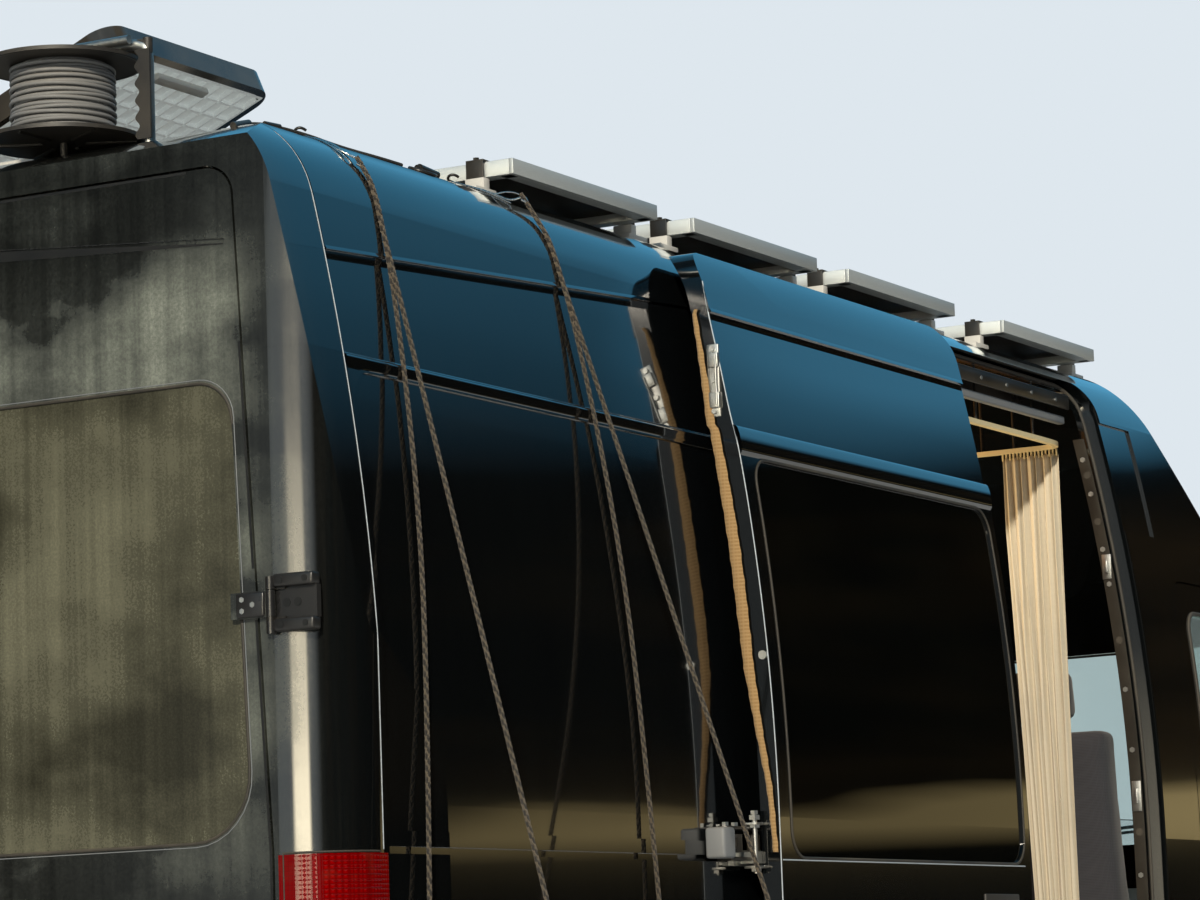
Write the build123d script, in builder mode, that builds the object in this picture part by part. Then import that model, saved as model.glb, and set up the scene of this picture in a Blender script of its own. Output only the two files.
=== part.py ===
from build123d import *
import math
import os

os.makedirs("parts", exist_ok=True)

# The van's frame: X forward, Y to its left, Z up, millimetres, with the origin on the ground
# below the middle of its length.

# Body: overall sizes
front_x = 3472.5            # foremost point of the front bumper
door_plane_x = -3397.5      # outer face of the rear doors
rear_x = -3472.5            # rearmost point of the rear step
half_width = 996.5          # at the widest height
widest_z = 1300.0
side_radius = 5460.0        # the side's curve above the widest height
shoulder_z = 2500.0         # where side and shoulder meet
shoulder_radius = 230.0
crown_slope = 3.3           # degrees, the roof's slope beside the shoulder
sill_z = 380.0
wall = 45.0                 # doors and body sides, skin to lining
glass_thick = 5.0
roof_seam_z = 2174.0        # joint between the steel side and the high roof
crease_z = 2490.0           # the crease where the high roof's sides meet its top
crease_rear_z = 2372.0      # the crease's height at the rear doors
crease_bend_x = -1520.0     # it rises up to here
band_depth = 6.0            # the roof's sides lie this deep below its top
pressing_depth = 5.0        # recessed fields of the panels
corner_seam_x = -3247.0     # joint between the sides and the rear corner pillars
groove_width = 4.0
waist_slot_x = (corner_seam_x + 18, door_plane_x + 1555)
waist_slot_z = (1204.0, 1218.0)
waist_slot_depth = 10.0

# Gaps
panel_gap = 5.0             # round a piece that opens
seat_gap = 0.3              # between fixed pieces
run_gap = 0.1               # a pin in its bore

# Wheels
tyre_radius = 356.0
tyre_width = 235.0
rim_radius = 212.0
track_half = 855.0
front_axle_x = 2468.5
rear_axle_x = -1856.5
axle_z = tyre_radius
arch_radius = 430.0
arch_lip = 22.0             # width of the raised rim round each arch
arch_lip_proud = 7.0
spindle_radius = 30.0
kingpin_inset = 60.0        # kingpin inboard of the wheel's middle
kingpin_radius = 14.0

# Floor and frame
floor_top_z = 640.0
floor_thick = 40.0
rail_height = 110.0
rail_low_z = floor_top_z - floor_thick - rail_height
rail_width = 80.0
rail_y = 440.0

# Doors and windows
side_opening_x = (-500.5, 797.5)
side_opening_z = (480.0, 2585.0)     # the doorway reaches into the shoulder
side_opening_radius = 70.0
door_overlap = 60.0         # the sliding door past its opening at each end
door_travel = 1209.0
door_out = 96.0             # how far the open door stands off
cab_door_back_x = 1142.5
cab_door_front_x = 2250.0
cab_door_z = (480.0, 2050.0)
rear_door_z = (690.0, 2540.0)
rear_door_half = 832.0      # half width of the rear doorway at the waist
rear_door_top_half = 770.0


def body_section(inset):
    # the body's outline across, moved inwards by inset
    side_y = half_width - side_radius
    rise = math.asin((shoulder_z - widest_z) / side_radius)
    top = math.radians(90 - crown_slope)
    step = side_radius - shoulder_radius
    shoulder_y = side_y + step * math.cos(rise)
    shoulder_mid_z = widest_z + step * math.sin(rise)

    def on_side(turn):
        reach = side_radius - inset
        return side_y + reach * math.cos(turn), widest_z + reach * math.sin(turn)

    def on_shoulder(turn):
        reach = shoulder_radius - inset
        return shoulder_y + reach * math.cos(turn), shoulder_mid_z + reach * math.sin(turn)

    low, mid_side, hip = on_side(0), on_side(rise / 2), on_side(rise)
    mid_shoulder, neck = on_shoulder((rise + top) / 2), on_shoulder(top)
    crown_radius = neck[0] / math.cos(top)
    crown = (0, neck[1] + crown_radius * (1 - math.sin(top)))
    with BuildSketch(Plane.YZ) as outline:
        with BuildLine():
            ThreePointArc((-neck[0], neck[1]), crown, neck)
            for k in (1, -1):
                ThreePointArc((k * neck[0], neck[1]), (k * mid_shoulder[0], mid_shoulder[1]),
                              (k * hip[0], hip[1]))
                ThreePointArc((k * hip[0], hip[1]), (k * mid_side[0], mid_side[1]),
                              (k * low[0], low[1]))
                Line((k * low[0], low[1]), (k * low[0], 900))
                ThreePointArc((k * low[0], 900), (k * (low[0] - 12), 640),
                              (k * (low[0] - 45), sill_z))
            Line((45 - low[0], sill_z), (low[0] - 45, sill_z))
        make_face()
    return outline.sketch


def body_plan(inset):
    # the body's outline from above
    back, front, side = door_plane_x + inset, front_x - inset, half_width + 2 - inset
    with BuildSketch(Plane.XY) as outline:
        with BuildLine():
            Line((back, 150 - side), (back, side - 150))
            for k in (1, -1):
                ThreePointArc((back, k * (side - 150)), (back + 38, k * (side - 54)),
                              (back + 150, k * (side - 12)))
                Line((back + 150, k * (side - 12)), (back + 420, k * side))
                Line((back + 420, k * side), (front - 770, k * side))
                ThreePointArc((front - 770, k * side), (front - 470, k * (side - 42)),
                              (front - 220, k * (side - 152)))
                ThreePointArc((front - 220, k * (side - 152)), (front - 110, k * (side - 255)),
                              (front - 52, k * (side - 400)))
            ThreePointArc((front - 52, side - 400), (front, 0), (front - 52, 400 - side))
        make_face()
    return outline.sketch


# Bowed faces of the front: the lower and upper point (x, z) of each in side view, and its bow radius
screen_face = ((2772, 1285), (1972, 1985), 5200)
forehead_face = ((1990, 1975), (1480, 2582.8), 5000)
bonnet_face = ((3440, 985), (2700, 1320), 3600)
nose_face = ((3472.5, 700), (3400, 1080), 4000)


def space_behind(face, inset):
    # the outline of a tall block whose front is the bowed face, drawn well below its foot
    foot, head, bow = face
    run = Vector(head[0] - foot[0], 0, head[1] - foot[1]).normalized()
    out = Vector(run.Z, 0, -run.X)
    base = Vector(foot[0], 0, foot[1]) - out * inset - run * 3000
    plane = Plane(origin=base, x_dir=(0, 1, 0), z_dir=run)
    back = -9000 if plane.y_dir.dot(out) > 0 else 9000
    half = 1300
    drop = math.copysign(bow - math.sqrt(bow**2 - half**2), back)
    with BuildSketch(plane) as outline:
        with BuildLine():
            ThreePointArc((-half, drop), (0, 0), (half, drop))
            Polyline((half, drop), (half, back), (-half, back), (-half, drop))
        make_face()
    return outline.sketch


roof_high = 2705.0
roof_front_radius = 854.0
roof_front_start_x = 979.0
forehead_slope = 50.0


def roof_line(inset):
    # the body's outline from the side: it drops to the rear doors and bends into the forehead
    back, top, bend = door_plane_x - 1, roof_high - inset, roof_front_radius - inset

    def on_bend(degrees):
        turn = math.radians(degrees)
        return (roof_front_start_x + bend * math.sin(turn),
                roof_high - roof_front_radius + bend * math.cos(turn))

    end = on_bend(forehead_slope)
    with BuildSketch(Plane.XZ) as outline:
        with BuildLine():
            ThreePointArc(on_bend(0), on_bend(forehead_slope / 2), end)
            Polyline(end, (4000, end[1]), (4000, 0), (back, 0), (back, 2598 - inset))
            ThreePointArc((back, 2598 - inset), (back + 250, 2677 - inset), (back + 560, top))
            Line((back + 560, top), on_bend(0))
        make_face()
    return outline.sketch


def body_block(inset, faces):
    with BuildPart() as block:
        extrude(body_section(inset), amount=4000, both=True)
        extrude(roof_line(inset), amount=2000, both=True, mode=Mode.INTERSECT)
        for face in faces:
            extrude(space_behind(face, inset), amount=9000, mode=Mode.INTERSECT)
        extrude(body_plan(inset), amount=3000, mode=Mode.INTERSECT)
    return block.part


body_solids = {}


def body_solid(inset):
    # the whole body as one filled form, made once for each inset
    if inset not in body_solids:
        with BuildPart() as solid:
            add(body_block(inset, (screen_face, forehead_face)))
            add(body_block(inset, (bonnet_face, nose_face)))
        body_solids[inset] = solid.part
    return body_solids[inset]


def body_skin(outside, inside):
    with BuildPart() as skin:
        add(body_solid(outside))
        add(body_solid(inside), mode=Mode.SUBTRACT)
    return skin.part


def side_prism(points, y_from, y_to, grow=0.0):
    # a prism across the van, outlined in side view by (x, z, corner radius)
    with BuildPart() as prism:
        with BuildSketch(Plane.XZ.offset(-y_from)):
            with BuildLine():
                FilletPolyline(*[(x, z) for x, z, _ in points], close=True,
                               radius=[radius for _, _, radius in points])
            make_face()
            if grow:
                offset(amount=grow)
        extrude(amount=y_from - y_to)
    return prism.part


def rear_prism(points, x_from, x_to, grow=0.0):
    # a prism along the van, outlined from behind by (y, z, corner radius)
    with BuildPart() as prism:
        with BuildSketch(Plane.YZ.offset(x_from)):
            with BuildLine():
                FilletPolyline(*[(y, z) for y, z, _ in points], close=True,
                               radius=[radius for _, _, radius in points])
            make_face()
            if grow:
                offset(amount=grow)
        extrude(amount=x_to - x_from)
    return prism.part


def plan_prism(points, z_from, z_to, grow=0.0):
    # an upright prism, outlined from above by (x, y, corner radius)
    with BuildPart() as prism:
        with BuildSketch(Plane.XY.offset(z_from)):
            with BuildLine():
                FilletPolyline(*[(x, y) for x, y, _ in points], close=True,
                               radius=[radius for _, _, radius in points])
            make_face()
            if grow:
                offset(amount=grow)
        extrude(amount=z_to - z_from)
    return prism.part


def rect(a, b, radius, grow=0.0):
    # corners of a rectangle (low, high) for the prisms, grown all round
    return [(a[0] - grow, b[0] - grow, radius), (a[1] + grow, b[0] - grow, radius),
            (a[1] + grow, b[1] + grow, radius), (a[0] - grow, b[1] + grow, radius)]


def block(x, y, z, radius=0.0):
    # a box between low and high in each direction, with its upright edges rounded
    return plan_prism(rect(x, y, radius), z[0], z[1])


def rod(start, end, radius):
    along = Vector(*end) - Vector(*start)
    with BuildPart() as bar:
        with BuildSketch(Plane(origin=start, z_dir=along)):
            Circle(radius)
        extrude(amount=along.length)
    return bar.part


def wire(points, radius):
    # a round bar along straight runs that gentle arcs join
    places = [Vector(*point) for point in points]
    bends = []
    for before, at, after in zip(places, places[1:], places[2:]):
        half_turn = math.radians((at - before).get_angle(after - at) / 2)
        bends.append(0.45 * min((at - before).length, (after - at).length) / math.tan(half_turn))
    with BuildPart() as bar:
        with BuildLine() as route:
            FilletPolyline(*places, radius=bends)
        with BuildSketch(Plane(origin=route.line @ 0, z_dir=route.line % 0)):
            Circle(radius)
        sweep(path=route.line)
    return bar.part


def mirrored(points, k):
    # the outline for the left side (k = 1) or the right side (k = -1)
    return points if k == 1 else [(-y, z, radius) for y, z, radius in reversed(points)]


def finish(piece, name):
    piece.label = name
    export_step(piece, f"parts/{name}.step")


shell = body_skin(0, wall)
far = 1500.0

# Outlines of what opens, each corner as (across, up, corner radius)
cab_door_outline = [(cab_door_back_x, cab_door_z[0], 60), (cab_door_back_x, cab_door_z[1], 80),
                    (1660, cab_door_z[1], 60), (cab_door_front_x, 1534, 60),
                    (cab_door_front_x, 860, 120), (1980, 640, 150), (1980, cab_door_z[0], 40)]
rear_door_outline = [(panel_gap / 2, rear_door_z[0], 10), (rear_door_half, rear_door_z[0], 50),
                     (rear_door_half, 1212, 0), (rear_door_top_half, rear_door_z[1], 60),
                     (panel_gap / 2, rear_door_z[1], 10)]
sliding_outline = rect((side_opening_x[0] - door_overlap, side_opening_x[1] + door_overlap),
                       (side_opening_z[0] - 15, side_opening_z[1] + 15), 70)
bonnet_outline = [(2800, -770, 40), (3600, -640, 10), (3600, 640, 10), (2800, 770, 40)]
bonnet_low_z = 975.0
rear_doorway = [(-rear_door_half, 0, 0), (rear_door_half, 0, 0), (rear_door_half, 1212, 0),
                (rear_door_top_half, rear_door_z[1], 60), (-rear_door_top_half, rear_door_z[1], 60),
                (-rear_door_half, 1212, 0)]
door_window = rect((-495.5, 819.5), (1213, 2110), 60)
quarter_field = rect((corner_seam_x + 18, side_opening_x[0] - door_overlap - 60), (1248, 2142), 60)
door_band = rect((-4000, 4000), (2184, 2448), 0)
rear_swage = [(60, 2422, 8), (60, 2452, 8), (757, 2398, 4), (750, 2382, 4)]
cab_window = [(1230, 1290, 50), (1230, 1960, 60), (1610, 1960, 50), (2110, 1522, 50),
              (2110, 1290, 60)]
rear_window = [(70, 1235, 90), (790, 1235, 130), (760, 2120, 80), (70, 2120, 80)]
screen_outline = [(-860, 1345, 80), (860, 1345, 80), (790, 1925, 80), (-790, 1925, 80)]
bumper_top_z = 690.0
grille_outline = rect((-560, 560), (bumper_top_z, bonnet_low_z - panel_gap), 0)
lamp_outline = [(2960, bumper_top_z, 40), (3600, bumper_top_z, 0), (3600, 985, 0), (3330, 985, 60),
                (3010, 930, 60)]


# Pressed forms, cut from or added to the panels
with BuildPart() as corner_groove:
    add(body_skin(-1, groove_width))
    add(block((corner_seam_x - groove_width / 2, corner_seam_x + groove_width / 2), (-far, far),
              (660, 4000)), mode=Mode.INTERSECT)
with BuildPart() as quarter_fields:
    for k in (1, -1):
        add(side_prism(quarter_field, 600 * k, far * k))
    add(body_skin(-1, pressing_depth), mode=Mode.INTERSECT)


def arch_rim(axle_x, k):
    # the raised rim round a wheel arch, down to the sill
    with BuildPart() as rim_part:
        with BuildSketch(Plane.XZ.offset(-k * 700)):
            with Locations((axle_x, axle_z)):
                Circle(arch_radius + arch_lip)
                Circle(arch_radius, mode=Mode.SUBTRACT)
            with Locations((axle_x, sill_z - 500)):
                Rectangle(2000, 1000, mode=Mode.SUBTRACT)
        extrude(amount=-k * 500)
        add(body_skin(-arch_lip_proud, 10), mode=Mode.INTERSECT)
    return rim_part.part


# Fixed body panels
low_cut = block((-4000, 4000), (-far, far), (0, roof_seam_z))
high_cut = block((-4000, 4000), (-far, far), (roof_seam_z - seat_gap, 4000))
rear_way_cut = rear_prism(rear_doorway, door_plane_x - 50, door_plane_x + 300, panel_gap)
side_way_cut = side_prism(rect(side_opening_x, side_opening_z, side_opening_radius), -far, -600)
with BuildPart() as side_rebate:
    add(side_prism(sliding_outline, -far, -600, panel_gap))
    add(body_solid(30), mode=Mode.SUBTRACT)
front_split_x = cab_door_back_x - 60
roof_side_front_x = {"left": front_split_x, "right": side_opening_x[0] + side_opening_radius}
pillar_outline = [(x, z, 0) for x, z, _ in
                  rect((side_opening_x[1] - side_opening_radius, front_split_x),
                       (side_opening_z[0] + side_opening_radius, crease_z), 0)]


def roof_side_prism(k, side, grow):
    # the space of one side of the high roof, between the seam and the crease
    end = roof_side_front_x[side]
    points = [(door_plane_x - 1, roof_seam_z, 0), (end, roof_seam_z, 0), (end, crease_z, 0),
              (crease_bend_x, crease_z, 0), (door_plane_x - 1, crease_rear_z, 0)]
    return side_prism(points, 500 * k, far * k, grow)


with BuildPart() as roof_panel:
    add(shell)
    add(low_cut, mode=Mode.SUBTRACT)
    add(rear_way_cut, mode=Mode.SUBTRACT)
    add(side_way_cut, mode=Mode.SUBTRACT)
    add(side_rebate.part, mode=Mode.SUBTRACT)
    for k, side in ((1, "left"), (-1, "right")):
        add(roof_side_prism(k, side, seat_gap), mode=Mode.SUBTRACT)
    add(side_prism(pillar_outline, -500, -far, seat_gap), mode=Mode.SUBTRACT)
    add(block((-2980, -2425), (-245, 245), (2500, 3000), 40), mode=Mode.SUBTRACT)
    add(corner_groove.part, mode=Mode.SUBTRACT)
finish(roof_panel.part, "roof_panel")

side_band = body_skin(band_depth, wall)

for k, side in ((1, "left"), (-1, "right")):
    with BuildPart() as roof_side:
        add(side_band)
        add(block((-4000, corner_seam_x), (-far, far), (0, 4000)), mode=Mode.SUBTRACT)
        with BuildPart(mode=Mode.PRIVATE) as corner:
            add(shell)
            add(block((-4000, corner_seam_x), (-far, far), (0, 4000)), mode=Mode.INTERSECT)
        add(corner.part)
        add(roof_side_prism(k, side, 0), mode=Mode.INTERSECT)
        add(rear_way_cut, mode=Mode.SUBTRACT)
        add(corner_groove.part, mode=Mode.SUBTRACT)
        if k == -1:
            add(side_way_cut, mode=Mode.SUBTRACT)
            add(side_rebate.part, mode=Mode.SUBTRACT)
    finish(roof_side.part, f"roof_side_{side}")

# The pillar between the sliding door and the cab door, from above the sill to the crease
with BuildPart() as band_space:
    add(block((-4000, 4000), (-far, far), (roof_seam_z, crease_z)))
    add(body_skin(-1, band_depth), mode=Mode.INTERSECT)
with BuildPart() as pillar_right:
    add(shell)
    add(side_prism(pillar_outline, -500, -far), mode=Mode.INTERSECT)
    add(band_space.part, mode=Mode.SUBTRACT)
    add(side_way_cut, mode=Mode.SUBTRACT)
    add(side_rebate.part, mode=Mode.SUBTRACT)
finish(pillar_right.part, "pillar_right")


def arch_cut(axle_x, k):
    # the space of a wheel arch in the body's side
    with BuildPart() as space:
        with BuildSketch(Plane.XZ.offset(-k * 1100)):
            with Locations((axle_x, axle_z)):
                Circle(arch_radius)
        extrude(amount=k * 560)
    return space.part


for k, side in ((1, "left"), (-1, "right")):
    with BuildPart() as side_panel:
        add(shell)
        add(high_cut, mode=Mode.SUBTRACT)
        add(block((front_split_x, 4000), (-far, far), (0, 4000)), mode=Mode.SUBTRACT)
        add(block((-4000, 4000), (min(0, -k * far), max(0, -k * far)), (0, 4000)), mode=Mode.SUBTRACT)
        add(rear_way_cut, mode=Mode.SUBTRACT)
        add(arch_cut(rear_axle_x, k), mode=Mode.SUBTRACT)
        add(arch_rim(rear_axle_x, k))
        add(corner_groove.part, mode=Mode.SUBTRACT)
        add(quarter_fields.part, mode=Mode.SUBTRACT)
        add(block(waist_slot_x, sorted((k * (half_width - waist_slot_depth), k * far)), waist_slot_z),
            mode=Mode.SUBTRACT)
        add(block((door_plane_x - 100, door_plane_x + 190), (-far, far), (0, 660)), mode=Mode.SUBTRACT)
        if k == -1:
            add(side_way_cut, mode=Mode.SUBTRACT)
            add(side_rebate.part, mode=Mode.SUBTRACT)
            add(side_prism(pillar_outline, -500, -far, seat_gap), mode=Mode.SUBTRACT)
        else:
            add(side_prism(door_window, 600, far), mode=Mode.SUBTRACT)
    finish(side_panel.part, f"side_panel_{side}")

bumper_space = block((front_axle_x + 400, 4000), (-far, far), (0, bumper_top_z))
bonnet_space = plan_prism(bonnet_outline, bonnet_low_z - panel_gap, 1400, panel_gap)
hinge_radius = 9.0
cab_hinge_x = cab_door_front_x + 35
cab_hinge_y = half_width + 1
cab_hinge_z = (950.0, 1380.0)

with BuildPart() as front_shell:
    add(shell)
    add(high_cut, mode=Mode.SUBTRACT)
    add(block((-4000, front_split_x + seat_gap), (-far, far), (0, 4000)), mode=Mode.SUBTRACT)
    add(bumper_space, mode=Mode.SUBTRACT)
    add(bonnet_space, mode=Mode.SUBTRACT)
    add(rear_prism(screen_outline, 1850, 2900), mode=Mode.SUBTRACT)
    add(rear_prism(grille_outline, 3200, 3600), mode=Mode.SUBTRACT)
    for k in (1, -1):
        add(side_prism(cab_door_outline, 600 * k, far * k, panel_gap), mode=Mode.SUBTRACT)
        add(arch_cut(front_axle_x, k), mode=Mode.SUBTRACT)
        add(side_prism(lamp_outline, 560 * k, far * k), mode=Mode.SUBTRACT)
        for z in cab_hinge_z:
            add(block((cab_door_front_x, cab_hinge_x + hinge_radius + panel_gap),
                      sorted((k * (half_width - 15), k * far)), (z - 55, z + 55)), mode=Mode.SUBTRACT)

# The wings part from the cab's frame below the windscreen, in front of the doors
wing_back_x = 1985.0
wing_top_z = 1290.0
cowl_front_x = bonnet_outline[0][0] + panel_gap
wing_space = block((wing_back_x, 4000), (-far, far), (0, wing_top_z))
cowl_space = block((wing_back_x, cowl_front_x), (-790, 790), (0, wing_top_z))
with BuildPart() as front_structure:
    add(front_shell.part)
    add(wing_space, mode=Mode.SUBTRACT)
    with BuildPart(mode=Mode.PRIVATE) as cowl:
        add(front_shell.part)
        add(cowl_space, mode=Mode.INTERSECT)
    add(cowl.part)
finish(front_structure.part, "front_structure")

wings = {}
for k, side in ((1, "left"), (-1, "right")):
    with BuildPart() as wing:
        add(front_shell.part)
        add(block((wing_back_x + seat_gap, 4000), sorted((0, k * far)), (0, wing_top_z - seat_gap)),
            mode=Mode.INTERSECT)
        add(block((0, cowl_front_x + seat_gap), (-790 - seat_gap, 790 + seat_gap), (0, wing_top_z)),
            mode=Mode.SUBTRACT)
        with BuildPart(mode=Mode.PRIVATE) as rim_piece:
            add(arch_rim(front_axle_x, k))
            add(bumper_space, mode=Mode.SUBTRACT)
        add(rim_piece.part)
    wings[side] = wing.part
    finish(wing.part, f"wing_{side}")

with BuildPart() as windscreen:
    add(body_skin(0, glass_thick + 1))
    add(rear_prism(screen_outline, 1850, 2900, -seat_gap), mode=Mode.INTERSECT)
finish(windscreen.part, "windscreen")


with BuildPart() as headlamps:
    for k in (1, -1):
        add(side_prism(lamp_outline, (560 + seat_gap) * k, far * k, -seat_gap))
    add(body_skin(0, 90), mode=Mode.INTERSECT)
    add(bonnet_space, mode=Mode.SUBTRACT)
finish(headlamps.part, "headlamps")

with BuildPart() as grille:
    add(rear_prism(grille_outline, 3200, 3600, -seat_gap))
    add(body_skin(4, 40), mode=Mode.INTERSECT)
    for z in (735, 785, 835, 885):
        add(block((3200, 3600), (-500, 500), (z, z + 28)), mode=Mode.SUBTRACT)
finish(grille.part, "grille")

# Bumpers, each with a blind socket for a towing eye
tow_radius = 10.0
tow_depth = 60.0
tow_seat_radius = 26.0
tow_seat_x = 3425.0         # the front socket's mouth, in a flat seat in the curved bumper
front_tow_place = (-520.0, 520.0)
rear_tow_place = (-600.0, 545.0)
bumper_block = block((front_axle_x + 400 + seat_gap, 4000), (-far, far),
                     (300, bumper_top_z - seat_gap))
with BuildPart() as front_bumper:
    add(body_skin(0, 90))
    add(bumper_block, mode=Mode.INTERSECT)
    for k in (1, -1):
        add(arch_cut(front_axle_x, k), mode=Mode.SUBTRACT)
        with BuildPart(mode=Mode.PRIVATE) as rim_piece:
            add(arch_rim(front_axle_x, k))
            add(bumper_block, mode=Mode.INTERSECT)
        add(rim_piece.part)
    add(rear_prism(rect((-420, 420), (440, 610), 50), 3300, 3600), mode=Mode.SUBTRACT)
    tow_y, tow_z = front_tow_place
    add(rod((tow_seat_x - tow_depth, tow_y, tow_z), (tow_seat_x, tow_y, tow_z), tow_radius),
        mode=Mode.SUBTRACT)
    add(rod((tow_seat_x, tow_y, tow_z), (front_x, tow_y, tow_z), tow_seat_radius), mode=Mode.SUBTRACT)
finish(front_bumper.part, "front_bumper")

step_z = (430.0, 660.0)
with BuildPart() as rear_bumper:
    with BuildSketch(Plane.XY.offset(step_z[0])):
        with BuildLine():
            FilletPolyline((door_plane_x + 190, 940), (door_plane_x + 190, 990), (door_plane_x + 60, 975),
                           (rear_x, 860), (rear_x, -860), (door_plane_x + 60, -975),
                           (door_plane_x + 190, -990), (door_plane_x + 190, -940),
                           (door_plane_x + 60, -900), (door_plane_x + 20, -800),
                           (door_plane_x + 20, 800), (door_plane_x + 60, 900), close=True,
                           radius=[10, 10, 120, 60, 60, 120, 10, 10, 60, 40, 40, 60])
        make_face()
    extrude(amount=step_z[1] - step_z[0])
    add(rod((rear_x, *rear_tow_place), (rear_x + tow_depth, *rear_tow_place), tow_radius),
        mode=Mode.SUBTRACT)
finish(rear_bumper.part, "rear_bumper")

# Rear lamps, wrapped round the corner pillars
with BuildPart() as tail_lamps:
    for k in (1, -1):
        add(block((door_plane_x - 50, door_plane_x + 157), sorted((846 * k, 1100 * k)), (800, 1205)))
    add(body_skin(-4, 0), mode=Mode.INTERSECT)
finish(tail_lamps.part, "tail_lamps")

# Glass
with BuildPart() as side_window_left:
    add(side_prism(door_window, 600, far, -seat_gap))
    add(body_skin(0, glass_thick + 1), mode=Mode.INTERSECT)
finish(side_window_left.part, "side_window_left")

# The floor, with its rear wheel boxes
floor_half = half_width - wall - 12
with BuildPart() as floor_pan:
    add(body_solid(wall + seat_gap))
    add(block((door_plane_x + wall + panel_gap, 2360), (-floor_half, floor_half),
              (floor_top_z - floor_thick, floor_top_z)), mode=Mode.INTERSECT)
    for k in (1, -1):
        add(arch_cut(front_axle_x, k), mode=Mode.SUBTRACT)
        add(arch_cut(rear_axle_x, k), mode=Mode.SUBTRACT)
        with BuildSketch(Plane.XZ.offset(-k * 690)):
            with Locations((rear_axle_x, axle_z)):
                Circle(arch_radius + 15)
                Circle(arch_radius, mode=Mode.SUBTRACT)
            with Locations((rear_axle_x, 0)):
                Rectangle(2000, 2 * floor_top_z, mode=Mode.SUBTRACT)
        extrude(amount=-k * (floor_half - 690))
        with BuildSketch(Plane.XZ.offset(-k * 675)):
            with Locations((rear_axle_x, axle_z)):
                Circle(arch_radius + 15)
            with Locations((rear_axle_x, 0)):
                Rectangle(2000, 2 * floor_top_z, mode=Mode.SUBTRACT)
        extrude(amount=-k * 15)
    add(rear_bumper.part, mode=Mode.SUBTRACT)
finish(floor_pan.part, "floor_pan")

# Doors
bonnet_hinge = (2790.0, 1279.0)             # its axis: X and Z
bonnet_hinge_y = (-330.0, 330.0)
mirror_reach = 1243.0
mirror_width = 193.0
mirror_low_z = 1350.0
mirror_inner = mirror_reach - mirror_width
with BuildPart() as bonnet:
    add(plan_prism(bonnet_outline, bonnet_low_z, 1400))
    add(body_skin(0, 30), mode=Mode.INTERSECT)
    for y in bonnet_hinge_y:
        add(block((2801, 2830), (y - 15, y + 15), (1240, bonnet_hinge[1] + 4)))
        add(block((bonnet_hinge[0], 2805), (y - 15, y + 15), (bonnet_hinge[1] - 4, bonnet_hinge[1] + 4)))
        add(rod((bonnet_hinge[0], y - 15, bonnet_hinge[1]), (bonnet_hinge[0], y + 15, bonnet_hinge[1]), 8))
        add(rod((bonnet_hinge[0], y - 20, bonnet_hinge[1]), (bonnet_hinge[0], y + 20, bonnet_hinge[1]),
                4 + run_gap), mode=Mode.SUBTRACT)
finish(bonnet.part, "bonnet")

rear_hinge_x = door_plane_x - 12
rear_hinge_y = 850.0
rear_hinge_z = (742.0, 1680.0)


def hinge_barrel(x, y, z, low, high, bored):
    with BuildPart() as barrel:
        with BuildSketch(Plane.XY.offset(z + low)):
            with Locations((x, y)):
                Circle(hinge_radius)
                if bored:
                    Circle(hinge_radius / 2 + run_gap, mode=Mode.SUBTRACT)
        extrude(amount=high - low)
    return barrel.part


def hinge_fixed(x, y, z, plate_x, plate_y):
    # the body's half: two barrels, the pin between them and a plate
    with BuildPart() as half:
        add(hinge_barrel(x, y, z, -50, -26, False))
        add(hinge_barrel(x, y, z, 26, 50, False))
        with BuildSketch(Plane.XY.offset(z - 50)):
            with Locations((x, y)):
                Circle(hinge_radius / 2)
        extrude(amount=100)
        for low, high in ((-50, -26), (26, 50)):
            add(block(plate_x, plate_y, (z + low, z + high)))
    return half.part


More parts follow.
